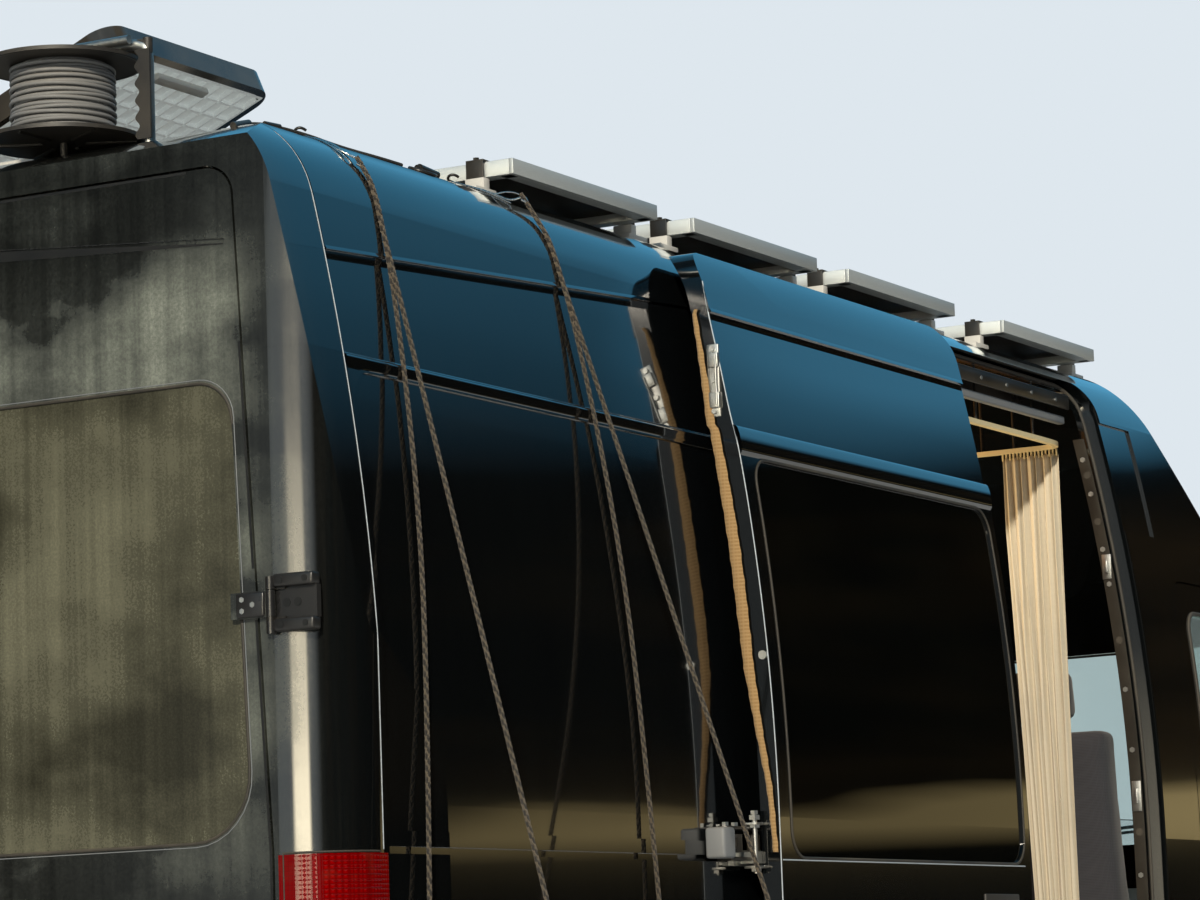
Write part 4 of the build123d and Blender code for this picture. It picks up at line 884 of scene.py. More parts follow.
# each pressing's profile, as (up the side, out from the skin)
pressings = {
    "creaseStep": [(0.010, -0.0002), (0.004, 0.0016), (0.0, 0.0024), (-0.006, 0.0018), (-0.018, 0.0),
                   (-0.024, -0.0005)],
    "seamLedge": [(0.004, 0.0), (0.003, 0.0024), (0.0, 0.0034), (-0.007, 0.0030), (-0.022, 0.0010),
                  (-0.034, -0.0004)],
    "doorRidge": [(0.036, -0.0004), (0.028, 0.0060), (0.012, 0.0088), (-0.012, 0.0088), (-0.028, 0.0060),
                  (-0.036, -0.0004)],
}


def sideStrip(name, skinNames, k, startX, endX, zAt, pressing, columns):
    skin, profile = skinOf(*skinNames), pressings[pressing]

    def place(along, across):
        x = startX + (endX - startX) * along
        rise = share([s for s, _ in profile], across)
        out = share([h for _, h in profile], across)
        spot, _ = touchSide(skin, x, zAt(x) + rise, k)
        return None if spot is None else spot + Vector((0, k, 0)) * out

    laid(name, columns, (len(profile) - 1) * 2, place, "paint")


seamLook = {"cornerX": -3.247, "seamZ": 2.174, "frontX": 1.080, "doorwayX": -0.566, "edgeRadius": 0.0010,
            "lampTop": 1.212, "shoulderLow": 2.47, "shoulder": (0.6386, 2.44945), "reach": 0.6,
            "creaseLow": 2.372, "creaseHigh": 2.490, "creaseRear": -3.3975, "creaseBend": -1.520}


def creaseHeight(x):
    # the crease rises from the rear doors and then runs level
    look = seamLook
    rise = min(1.0, max(0.0, (x - look["creaseRear"]) / (look["creaseBend"] - look["creaseRear"])))
    return look["creaseLow"] + (look["creaseHigh"] - look["creaseLow"]) * rise


def makeSideSeams():
    look = seamLook
    for k, side in sides:
        name = side.capitalize()
        end = look["frontX"] if k == 1 else look["doorwayX"]
        sideStrip("seamLedge" + name, (f"roof_side_{side}", f"side_panel_{side}"), k,
                  look["cornerX"] + 0.004, end, lambda x: look["seamZ"], "seamLedge", 60)
        sideStrip("creaseStep" + name, (f"roof_side_{side}", "roof_panel", "pillar_right"), k,
                  look["cornerX"] + 0.004, end, creaseHeight, "creaseStep", 60)
        # the corner joint: a thin light grey tube, a painted highlight along the folded edge, from the lamp
        # over the shoulder
        skin = skinOf("side_panel_" + side, "roof_side_" + side, "roof_panel")
        x = look["cornerX"] - 0.0035
        found = [touchSide(skin, x, look["lampTop"] + (look["shoulderLow"] - look["lampTop"]) * t / 22, k)
                 for t in range(23)]
        middleY, middleZ = look["shoulder"]
        for turn in range(8):
            angle = math.radians(12 + 10.5 * turn)
            start = (x, k * (middleY + look["reach"] * math.cos(angle)),
                     middleZ + look["reach"] * math.sin(angle))
            found.append(touch(skin, start, (0, -k * math.cos(angle), -math.sin(angle))))
        tubes("cornerHighlight" + name, [lifted(found, 0.0006)], look["edgeRadius"], "brightEdge", sides=2)


makeSideSeams()


# Windows: rubber rims along the glass, and a thin grey line round the rear panes as a painted highlight on
# the paint's edge
windowRims = {"rearCorners": [(0.070, 1.235, 0.090), (0.790, 1.235, 0.130), (0.760, 2.120, 0.080),
                              (0.070, 2.120, 0.080)],
              "sideCorners": [(-0.4955, 1.213, 0.060), (0.8195, 1.213, 0.060), (0.8195, 2.110, 0.060),
                              (-0.4955, 2.110, 0.060)],
              "cabCorners": [(1.230, 1.290, 0.050), (1.230, 1.960, 0.060), (1.610, 1.960, 0.050),
                             (2.110, 1.522, 0.050), (2.110, 1.290, 0.060)],
              "screenCorners": [(-0.860, 1.345, 0.080), (0.860, 1.345, 0.080), (0.790, 1.925, 0.080),
                                (-0.790, 1.925, 0.080)],
              "strapX": -3.3970, "edgeX": -3.3982, "edgeOut": 0.0075, "mirrorY": 0.998, "doorBackX": -1.209}


def makeWindowRims():
    look, rubber = windowRims, "rubber"
    for k, side in sides:
        outline = [Vector((k * y, z)) for y, z in roundedOutline(look["rearCorners"], 8)]
        spots = onRear(skinOf(f"rear_door_{side}", f"rear_door_{side}_glass"), densify(outline, 0.08),
                       -0.0010)
        # under the hinge straps, not over them
        spots = [Vector((max(spot.x, look["strapX"]), spot.y, spot.z)) for spot in spots]
        ringTube(f"rearWindowSeal{side.capitalize()}", spots, 0.0042 * 0.8, rubber, f"rear_door_{side}")
        # a thin grey line just outside each rear pane: painted highlight on the edge of the paint
        middle = sum(outline, Vector((0, 0))) / len(outline)
        edge = [Vector((look["edgeX"], p.x + (p.x - middle.x) / (p - middle).length * look["edgeOut"],
                        p.y + (p.y - middle.y) / (p - middle).length * look["edgeOut"])) for p in outline]
        ringTube(f"rearWindowEdge{side.capitalize()}", edge, 0.0010, ("greyCap", "body_paint"),
                 f"rear_door_{side}")
        cab = densify(roundedOutline(look["cabCorners"], 6), 0.06)
        # points where the probe met the mirror or its arm are left out
        spots = [spot for spot in onSide(skinOf(f"front_door_{side}"), grown(cab, 0.004), k, 0.0006)
                 if abs(spot.y) < look["mirrorY"]]
        ringTube(f"cabWindowSeal{side.capitalize()}", spots, 0.006, rubber, f"front_door_{side}")
    side = grown(densify(roundedOutline(look["sideCorners"], 8), 0.05), 0.003)
    ringTube("fixedWindowSeal", onSide(skinOf("side_panel_left", "side_window_left"), side, 1, 0.0004),
             0.004, rubber)
    moved = [(x + look["doorBackX"], z) for x, z in side]
    ringTube("slidingWindowSeal", onSide(skinOf("sliding_door", "sliding_door_glass"), moved, -1, 0.0003),
             0.0032, rubber)
    screen = densify(roundedOutline(look["screenCorners"], 8), 0.05)
    ringTube("screenSeal", onFront(skinOf("front_structure"), grown(screen, 0.005), 0.001), 0.009, rubber)


makeWindowRims()
print("seams and window rims made")


def bridge(bm, rings):
    # faces between rings of points, and a cap at each end
    for lower, upper in zip(rings, rings[1:]):
        for j in range(len(lower)):
            onward = (j + 1) % len(lower)
            bm.faces.new([lower[j], lower[onward], upper[onward], upper[j]])
    for ring in (rings[0], rings[-1]):
        bm.faces.new(ring)


# Sliding door: ridge below its band, painted highlight lines on its edges, foam strip, latch, button and
# handle
slidingLook = {"rearX": -1.7695, "frontX": -0.3515, "ridgeZ": 2.150, "bandTop": 2.448, "waistZ": 1.205,
               "edgeZ": (0.54, 2.52), "latchZ": 2.30, "buttonZ": 1.66, "handleZ": 1.09,
               "foamZ": (1.222, 2.455),
               "foamIn": (0.008, 0.016, 0.034, 0.046, 0.047, 0.046, 0.047, 0.048, 0.040, 0.030),
               "foamWide": (0.45, 0.50, 0.65, 0.90, 1.0, 1.0, 0.95, 0.80, 0.55, 0.40),
               "foamRing": ((0.0002, -0.0135), (-0.0042, -0.0060), (-0.0048, 0.0050), (-0.0006, 0.0140),
                            (0.0048, 0.0060), (0.0046, -0.0050))}


def makeFoam(skin):
    # the frayed foam strip along the door's rear inner edge
    look = slidingLook
    bm = bmesh.new()
    rings = []
    for t in range(121):
        z = look["foamZ"][0] + (look["foamZ"][1] - look["foamZ"][0]) * (t / 120)
        spot, _ = touchSide(skin, look["rearX"] + 0.006, z, -1)
        place = Vector((look["rearX"] - 0.0062, spot.y + share(look["foamIn"], t / 120), z))
        wide = share(look["foamWide"], t / 120)
        ring = []
        for j, (out, across) in enumerate(look["foamRing"]):
            fray = 0.0006 * math.sin(t * 2.1 + j * 1.9) + 0.0007 * math.sin(t * 5.3 + j * 0.7)
            aside = across * wide + (fray if abs(across) > 0.008 else 0)
            ring.append(bm.verts.new(place + Vector((out, aside, fray * 0.5))))
        rings.append(ring)
    bridge(bm, rings)
    newPiece(bm, "slidingDoorFoam", "foam", smooth=70)


def makeSlidingDoorTrim():
    look = slidingLook
    rear, front = look["rearX"], look["frontX"]
    skin = skinOf("sliding_door")
    for name, height, pressing in (("doorRidge", look["ridgeZ"], "doorRidge"),
                                   ("doorBandStep", look["bandTop"], "creaseStep")):
        sideStrip(name, ("sliding_door",), -1, rear + 0.003, front - 0.003, lambda x: height, pressing, 50)
    # painted highlight: light grey lines down the door's rear side and along the lower edge of the window
    # field
    line = [touchSide(skin, rear + 0.005, z, -1)[0] + Vector((-0.0036, -0.0004, 0))
            for z in steps(*look["edgeZ"], 27)]
    low = onSide(skin, [(x, look["waistZ"]) for x in steps(rear + 0.012, front - 0.038, 21)], -1, 0.0004)
    for name, path in (("slidingDoorEdgeHighlight", line), ("slidingDoorWaistHighlight", low)):
        tubes(name, [path], 0.0016, "brightEdge", sides=2)
    makeFoam(skin)
    # zinc latch near the top of the rear edge, and a button lower down
    y = touchSide(skin, rear + 0.008, look["latchZ"], -1)[0].y
    latch = [(box, (rear - out, y + 0.004, zLow), (rear + 0.004, y + deep, zHigh), 0.0025)
             for zLow, zHigh, out, deep in ((2.205, 2.372, 0.004, 0.034), (2.225, 2.262, 0.010, 0.030),
                                            (2.318, 2.352, 0.010, 0.030))]
    latch += [(rod, (rear - 0.009, y + 0.018, z), (rear, y + 0.018, z), 0.0065, 14)
              for z in (2.218, 2.290, 2.360)]
    latch += [(rod, (rear - 0.011, y + 0.009, 2.232), (rear - 0.011, y + 0.009, 2.346), 0.0028, 12)]
    build("slidingDoorLatch", "zinc", latch)
    z = look["buttonZ"]
    y = touchSide(skin, rear + 0.008, z, -1)[0].y + 0.010
    build("slidingDoorButton", "zinc", [(rod, (rear - 0.006, y, z), (rear, y, z), 0.010, 20)])
    # outer handle near the front edge
    y = touchSide(skin, front - 0.15, look["handleZ"], -1)[0].y
    build("slidingDoorHandle", "plastic", [
        (box, (front - 0.30, y - 0.004, 1.045), (front - 0.09, y + 0.004, 1.135), 0.003),
        (box, (front - 0.29, y - 0.036, 1.075), (front - 0.10, y - 0.020, 1.103), 0.006, 3)] + [
        (box, (x, y - 0.024, 1.078), (x + 0.024, y + 0.001, 1.100), 0.004)
        for x in (front - 0.286, front - 0.128)])


makeSlidingDoorTrim()


# The roller carriage that holds the open door on its waist rail
carriageLook = {"x": -1.7975, "y": -0.9965, "z": 1.243}


def makeCarriage():
    x, y, z = (carriageLook[key] for key in ("x", "y", "z"))
    build("railEndCap", ("greyCap", "white_plastic"), [
        (box, (x - 0.150, y - 0.050, z - 0.034), (x - 0.095, y - 0.001, z + 0.034), 0.007, 3)])
    build("rollerArms", ("satin", "chassis_steel"), [
        (box, (x - 0.100, y - 0.040, z + low), (x + 0.098, y - 0.003, z + low + 0.007), 0.0015)
        for low in (0.030, -0.037)] + [
        (box, (x - 0.120, y - 0.034, z - 0.012), (x - 0.030, y - 0.005, z + 0.014), 0.004)] + [
        (rod, (x + dx, y + dy, z - 0.020), (x + dx, y + dy, z + 0.020), radius, 24)
        for dx, dy, radius in ((-0.090, -0.022, 0.016), (-0.045, -0.022, 0.016), (0.040, -0.024, 0.015))])
    pinX, pinY = x + 0.004, y - 0.047
    build("rollerPin", "zinc", [
        (rod, (pinX, pinY, z + at), (pinX, pinY, z + at + tall), radius, segments)
        for at, tall, radius, segments in ((-0.066, 0.136, 0.0058, 16), (0.052, 0.010, 0.013, 6),
                                           (0.064, 0.008, 0.009, 6), (-0.062, 0.010, 0.012, 6),
                                           (0.034, 0.008, 0.012, 6))] + [
        (box, (pinX - 0.012, pinY - 0.010, z + at - 0.003), (pinX + 0.060, pinY + 0.024, z + at + 0.003),
         0.001)
        for at in (0.043, -0.052)] + [
        (rod, (x + dx, y - 0.022, z + 0.036), (x + dx, y - 0.022, z + 0.046), 0.008, 6)
        for dx in (-0.090, -0.045)])


makeCarriage()
print("sliding door trim and carriage made")


# Solar panels: aluminium frames, cells under glass, clamps, and feet on the roof
solarLook = {"starts": (-2.2845, -1.4295, -0.5745, 0.4295), "long": 0.670, "low": 2.709, "high": 2.744,
             "nearY": -0.765, "farY": 0.715, "frame": 0.011, "flange": 0.028, "sheet": 0.0018,
             "clampY": (-0.675, 0.545)}


def makeSolar():
    look = solarLook
    low, high, edge, nearY, farY = (look[key] for key in ("low", "high", "frame", "nearY", "farY"))
    lip, foot = edge + look["flange"], low + look["sheet"]
    frames, cells, backs, clamps, feet = [], [], [], [], []
    for start in look["starts"]:
        end = start + look["long"]
        for y, way in ((nearY, 1), (farY, -1)):
            frames += [(box, (start, y, low), (end, y + way * edge, high), 0.0012),
                       (box, (start + edge, y + way * edge, low), (end - edge, y + way * lip, foot))]
        for x, way in ((start, 1), (end, -1)):
            frames += [(box, (x, nearY + edge, low), (x + way * edge, farY - edge, high), 0.0012),
                       (box, (x + way * edge, nearY + edge, low), (x + way * lip, farY - edge, foot))]
        cells.append((box, (start + edge * 0.6, nearY + edge * 0.6, high - 0.005),
                      (end - edge * 0.6, farY - edge * 0.6, high - 0.0008)))
        backs += [(box, (start + edge, nearY + edge, high - 0.0085),
                   (end - edge, farY - edge, high - 0.0052)),
                  (box, (start + 0.05, 0.10, high - 0.026), (start + 0.13, 0.24, high - 0.0086), 0.003)]
        # black clamp straps at the ends, with their bolts, and pale feet glued to the roof
        for x, out in ((start, -1), (end, 1)):
            for y in look["clampY"]:
                clamps += [(box, (x - out * 0.020, y - 0.022, high + 0.0002),
                            (x + out * 0.014, y + 0.022, high + 0.0045), 0.001),
                           (box, (x + out * 0.010, y - 0.022, low - 0.030),
                            (x + out * 0.014, y + 0.022, high + 0.001), 0.001),
                           (rod, (x + out * 0.005, y, high + 0.004), (x + out * 0.005, y, high + 0.010),
                            0.0075, 6)]
                roof = overRoof([(x + out * 0.018, y)], 0.0)[0].z
                feet += [(box, (x - out * 0.030, y - 0.030, roof - 0.012),
                          (x + out * 0.060, y + 0.030, roof + 0.006), 0.003),
                         (box, (x - out * 0.010, y - 0.024, roof),
                          (x + out * 0.016, y + 0.024, max(low - 0.002, roof + 0.01)), 0.002)]
    build("solarFrames", "anodised", frames, replaced=("solar_panels",))
    build("solarCells", "cells", cells, replaced=("solar_panels",))
    build("solarBacks", ("plastic", "cell_glass"), backs, replaced=("solar_panels",))
    build("solarClamps", "satin", clamps)
    build("solarFeet", "whitePlastic", feet)


makeSolar()
print("solar panels made")


# Roof hatch: a white ribbed tray under the smoked lid, glowing a little as painted light, its handle and seal
hatchLook = {"x": (-2.9975, -2.4075), "half": 0.258, "hinge": (0, 0.272, 2.738), "open": 22.8,
             "cells": (11, 9), "rib": 0.0065, "deep": 0.011, "trayTop": 2.7448, "trayLow": 2.7300,
             "sealZ": 2.7250, "sealIn": 0.022}


def makeHatch():
    look = hatchLook
    (x0, x1), half, low = look["x"], look["half"], look["trayLow"]
    ribLow, ribTop = low, low + look["deep"] + 0.001
    tray = [(box, (x0 + 0.012, -half + 0.012, low + look["deep"]),
             (x1 - 0.012, half - 0.036, look["trayTop"]), 0.002)]
    for x in steps(x0 + 0.017, x1 - 0.017, look["cells"][0] + 1):
        tray.append((box, (x - look["rib"] / 2, -half + 0.016, ribLow),
                     (x + look["rib"] / 2, half - 0.038, ribTop)))
    for y in steps(-half + 0.017, half - 0.041, look["cells"][1] + 1):
        tray.append((box, (x0 + 0.016, y - look["rib"] / 2, ribLow),
                     (x1 - 0.016, y + look["rib"] / 2, ribTop)))
    grip = [(box, (x0 + 0.20, -half + 0.0365, low - 0.014), (x1 - 0.20, -half + 0.060, low + 0.002), 0.004)]
    # from the closed place to the place at rest, ajar
    hinge = Vector(look["hinge"])
    turn = (Matrix.Translation(hinge) @ Matrix.Rotation(math.radians(-look["open"]), 4, "X")
            @ Matrix.Translation(-hinge))
    build("hatchTray", "trayPlastic", tray, "hatch_lid", turn, 30)
    build("hatchHandle", "whitePlastic", grip, "hatch_lid", turn)
    inset = look["sealIn"]
    seal = [Vector((x, y, look["sealZ"])) for x, y in roundedOutline(
        [(x, y, 0.045) for x, y in ((x0 + inset, -half + inset), (x1 - inset, -half + inset),
                                    (x1 - inset, half - inset), (x0 + inset, half - inset))], 6)]
    ringTube("hatchSeal", seal, 0.0035, "rubber")


makeHatch()


# Cable reel: rolled rims, turns of grey cable and a galvanised tube that holds it
reelLook = {"x": -3.1975, "y": -0.230, "z": 2.684, "rim": 0.1600, "cable": 0.0042, "low": 0.0205,
            "high": 0.1600, "turns": 15, "layers": (0.0980, 0.1055), "barEnd": 0.42}


def windingPoints(look):
    # one layer of turns climbs round the core, and the next comes down over it
    turns = []
    low, high, climb = look["low"], look["high"], (look["high"] - look["low"]) / look["turns"]
    for layer, radius in enumerate(look["layers"]):
        for k in range(look["turns"] * 24 + 1):
            angle = 2 * math.pi * (k / 24)
            wobble = 0.0022 * math.sin(angle * 0.37 + layer) + 0.0012 * math.sin(angle * 1.7)
            height = low + climb * (k / 24) if layer == 0 else high - climb * (k / 24)
            reach = radius + wobble * 0.5
            turns.append((look["x"] + reach * math.cos(angle), look["y"] + reach * math.sin(angle),
                          look["z"] + min(high, max(low, height + wobble))))
    return turns


def makeReel():
    look = reelLook
    x, y, z = look["x"], look["y"], look["z"]
    for name, height in (("Low", 0.010), ("High", 0.170)):
        ring = [(*spot, z + height) for spot in circle(x, y, look["rim"], 48)]
        ringTube("reelRim" + name, ring, 0.0050, "satin", sides=3)
    build("reelRibs", "satin", [
        (rod, (*near, z + height), (*far, z + height), 0.0045, 10) for height in (0.0055, 0.1745)
        for near, far in zip(circle(x, y, 0.045, 6), circle(x, y, 0.150, 6))])
    tubes("reelWinding", [windingPoints(look)], look["cable"], "greyRubber",
          replaced=("reel_cable",), sides=2)
    build("reelCore", "greyRubber", [(rod, (x, y, z + 0.012), (x, y, z + 0.168), 0.0935, 48)],
          replaced=("reel_cable",))
    tube = beside((x, y, z), [(0, 0, 0.192), (0.006, -0.060, 0.1925), (0.014, -0.140, 0.1925),
                              (0.0185, -0.188, 0.190), (0.020, -0.2000, 0.176), (0.020, -0.2000, 0.10),
                              (0.020, -0.2000, -0.018)])
    tubes("reelTube", [tube], 0.0118, "zinc", sides=4)
    build("reelHub", "satin", [(rod, (x, y, z + 0.176), (x, y, z + 0.204), 0.016, 24)])
    # a flat dark plate with a wavy edge, fixed along the tube's upright end
    bm = bmesh.new()
    wavy = [(y - 0.216, z + 0.176), (y - 0.216, z - 0.010)]
    wavy += [(y - 0.184 + 0.0055 * math.sin(step * 0.82), z - 0.010 + 0.186 * step / 40)
             for step in range(41)]
    bridge(bm, [[bm.verts.new((x + out, across, up)) for across, up in wavy] for out in (0.0010, 0.0065)])
    newPiece(bm, "reelGrip", ("plastic", "black_plastic"))
    # a long galvanised bar that runs over the reel towards the left side
    end = (x - 0.004, y + look["barEnd"], z + 0.196)
    bar = [(x - 0.010, y - 0.175, z + 0.1965), (x - 0.008, y + 0.10, z + 0.198), end]
    tubes("reelBar", [bar], 0.0095, "zinc", sides=3)
    foot = overRoof([end[:2]], 0.0)[0]
    build("reelPost", "zinc", [
        (rod, foot + Vector((0, 0, -0.004)), end, 0.010, 20),
        (box, foot + Vector((-0.04, -0.04, -0.006)), foot + Vector((0.04, 0.04, 0.006)), 0.003)])


makeReel()
print("hatch and reel made")


# Rear doors: hinge covers, painted shade along the edge gap and in the crease, buffers, handle, lock, a blank
# number plate and its lights
rearLook = {"face": -3.3975, "hingeY": 0.850, "hinges": (0.742, 1.680), "coverOut": 0.0185,
            "blockOut": 0.0165,
            "outline": [(0.838, 0.684, 0.052), (0.838, 1.212, 0.0), (0.776, 2.546, 0.062)],
            "creaseY": (0.063, 0.752), "creaseLow": (2.424, 2.3868), "creaseHigh": (2.451, 2.3888)}


def makeHinges(k, side):
    look = rearLook
    face, turnY, pinX = look["face"], k * look["hingeY"], look["face"] - 0.012
    coverX, blockX = face - look["coverOut"], face - look["blockOut"]
    doorHalf, bodyHalf, holeShades, bolts = [], [], [], []
    for z in look["hinges"]:
        doorHalf += [(box, (coverX, k * 0.774, z - 0.024), (face - 0.0004, k * 0.838, z + 0.024), 0.004, 3),
                     (rod, (pinX, turnY, z - 0.0245), (pinX, turnY, z + 0.0245), 0.0092, 20)]
        bolts += [(rod, (coverX - 0.0005, k * y, z + dz), (coverX + 0.004, k * y, z + dz), 0.0058, 6)
                  for y, dz in ((0.788, 0.011), (0.788, -0.011), (0.812, 0.0))]
        for low, high in ((0.030, 0.055), (-0.055, -0.030)):
            mid = z + (low + high) / 2
            bodyHalf += [(box, (blockX, k * 0.857, z + low), (face + 0.012, k * 0.948, z + high), 0.005, 3),
                         (rod, (pinX, turnY, z + low - 0.003), (pinX, turnY, z + high - 0.004), 0.0094, 20)]
            # black discs over the holes in the hinge blocks: painted shade
            holeShades += [(rod, (blockX - 0.0012, k * y, mid), (blockX + 0.005, k * y, mid), 0.0064, 14)
                      for y in (0.874, 0.930)]
        bodyHalf.append((box, (face - 0.0022, k * 0.857, z - 0.031), (face + 0.012, k * 0.948, z + 0.031)))
        holeShades += [(rod, (face - 0.0032, k * y, z), (face, k * y, z), 0.0085, 20) for y in (0.880, 0.905)]
    name, door = side.capitalize(), f"rear_door_{side}"
    build("hingeCover" + name, "hinge", doorHalf, door)
    build("hingeBolts" + name, "zinc", bolts, door)
    build("hingeBlock" + name, "hinge", bodyHalf)
    # painted shade: pure black discs standing for the hinge blocks' holes
    build("hingeHoleShades" + name, "hole", holeShades)
    build("rearBuffers" + name, "rubber", [
        (box, (face - 0.006, k * 0.055, z - 0.016), (face + 0.001, k * 0.115, z + 0.016), 0.004)
        for z in (0.735, 2.48)], door)


def makeDoorEdge(k, side):
    # painted shade: a black strip along the door's edge beside the gap, and a black strip for the shade in
    # the crease under the door's top
    look, skin, name = rearLook, skinOf(f"rear_door_{side}"), side.capitalize()
    around = densify(roundedOutline(look["outline"] + [(0.004, 2.546, 0.0), (0.004, 0.684, 0.0)], 6), 0.05)
    bm = bmesh.new()
    outer, inner = ([onRear(skin, [(k * p.x, p.y)], 0.0004) for p in grown(around, -inset)]
                    for inset in (0.0062, 0.0118))
    for i in range(len(around)):
        j = (i + 1) % len(around)
        corners = outer[i] + outer[j] + inner[j] + inner[i]
        if len(corners) == 4 and all(abs(p.y) > 0.02 and p.z > 0.71 and p.x > look["face"] - 0.002
                                     for p in corners):
            bm.faces.new([bm.verts.new(p) for p in corners])
    bmesh.ops.remove_doubles(bm, verts=bm.verts, dist=0.0002)
    newPiece(bm, "doorGapShade" + name, ("hole", "dark_trim"), f"rear_door_{side}")

    def crease(along, across):
        low, high = share(look["creaseLow"], along), share(look["creaseHigh"], along)
        return onRear(skin, [(k * share(look["creaseY"], along), low + (high - low) * across)], 0.0004)[0]

    laid("rearCrease" + name, 40, 3, crease, ("hole", "body_paint"), f"rear_door_{side}")


def makeRearDoors():
    look = rearLook
    face = look["face"]
    for k, side in sides:
        makeHinges(k, side)
        makeDoorEdge(k, side)
    # the handle and its recess, on the door that opens first
    build("rearHandle", "plastic", [
        (box, (face - 0.004, -0.300, 1.015), (face + 0.002, -0.075, 1.115), 0.003),
        (box, (face - 0.028, -0.285, 1.046), (face - 0.014, -0.105, 1.080), 0.006, 3)] + [
        (box, (face - 0.018, y, 1.050), (face + 0.001, y + 0.022, 1.076), 0.004) for y in (-0.281, -0.131)],
        "rear_door_right")
    build("rearLock", "zinc", [
        (rod, (face - 0.006, -0.093, 1.097), (face, -0.093, 1.097), 0.0095, 24),
        (rod, (face - 0.0065, -0.093, 1.097), (face - 0.005, -0.093, 1.097), 0.006, 20)], "rear_door_right")
    build("plateHolder", "plastic", [
        (box, (face - 0.0065, 0.115, 0.835), (face - 0.0005, 0.655, 0.965), 0.0025),
        (box, (face - 0.022, 0.235, 0.990), (face + 0.001, 0.535, 1.022), 0.005, 3)], "rear_door_left")
    build("rearPlate", "plateWhite", [
        (box, (face - 0.0085, 0.125, 0.845), (face - 0.0064, 0.645, 0.955), 0.0009)], "rear_door_left")
    build("plateLights", "clearLamp", [
        (box, (face - 0.019, y, 0.9885), (face - 0.006, y + 0.018, 0.9905)) for y in (0.300, 0.452)],
        "rear_door_left")
    # seal round the rear doorway, inside the gap
    half = look["outline"]
    outline = roundedOutline(half + [(-y, z, radius) for y, z, radius in reversed(half)], 5)
    ringTube("rearDoorSeal", [(face + 0.050, y, z) for y, z in densify(outline, 0.2)], 0.004, "rubber")


makeRearDoors()


# Tail lamps: a dark gap round each, raised ribs over the red cover, an amber and a clear chamber
lampLook = {"middleX": -3.2475, "middleY": 0.8465, "reach": 0.6, "gapLow": 0.797, "gapHigh": 1.208,
            "ribStart": 0.815, "ribGap": 0.0125, "plain": (0.875, 1.07)}


def aroundCorner(skin, k, degrees, z):
    # a probe square to the rounded corner pillar: 0 degrees is the rear face, 90 the side
    angle = math.radians(degrees)
    way = Vector((-math.cos(angle), k * math.sin(angle), 0))
    return touch(skin, Vector((lampLook["middleX"], k * lampLook["middleY"], z)) + way * lampLook["reach"],
                 -way)


def makeTailLamps():
    look, skin = lampLook, skinOf("tail_lamps")
    for k, side in sides:
        name = side.capitalize()
        for part, low, high in (("amber", 0.985, 1.065), ("clear", 0.880, 0.955)):
            def place(along, across):
                spot, normal = aroundCorner(skin, k, 8 + 70 * along, low + (high - low) * across)
                return None if spot is None else spot + normal * 0.0009

            laid("lamp" + part.capitalize() + name, 24, 2, place, part + "Lamp")
        ribs = []
        for z in [look["ribStart"] + look["ribGap"] * step for step in range(31)]:
            rib = lifted([aroundCorner(skin, k, degrees, z) for degrees in steps(40, 82, 15)], 0.0002)
            if len(rib) > 3 and not look["plain"][0] < z < look["plain"][1]:
                ribs.append(rib)
        tubes("lampRibs" + name, ribs, 0.0011, "redLamp", kind="POLY", sides=1)
        body = skinOf(f"side_panel_{side}")
        border = lifted([aroundCorner(body, k, degrees, look["gapLow"]) for degrees in range(4, 87, 4)]
                        + [aroundCorner(body, k, degrees, look["gapHigh"])
                           for degrees in range(84, 2, -4)], 0.0004)
        ringTube("lampGap" + name, border, 0.0024, "rubber")


makeTailLamps()
print("rear doors and lamps made")


# The doorway's frame: black top rail, seals, pillar trim with holes and bolts, sill step
doorwayLook = {"x": (-0.5005, 0.7975), "z": (0.480, 2.585), "radius": 0.070, "liningZ": (0.60, 2.44),
               "lining": ((0.0012, 0.006), (0.0022, 0.018), (0.0016, 0.040)),
               "boltZ": (1.02, 1.20, 1.55, 1.72, 2.02, 2.12, 2.28, 2.38),
               "holeZ": (1.32, 1.86, 2.20, 2.335),
               "plates": ((1.42, 0.085), (2.07, 0.070), (0.80, 0.080)), "floorZ": 0.6402}


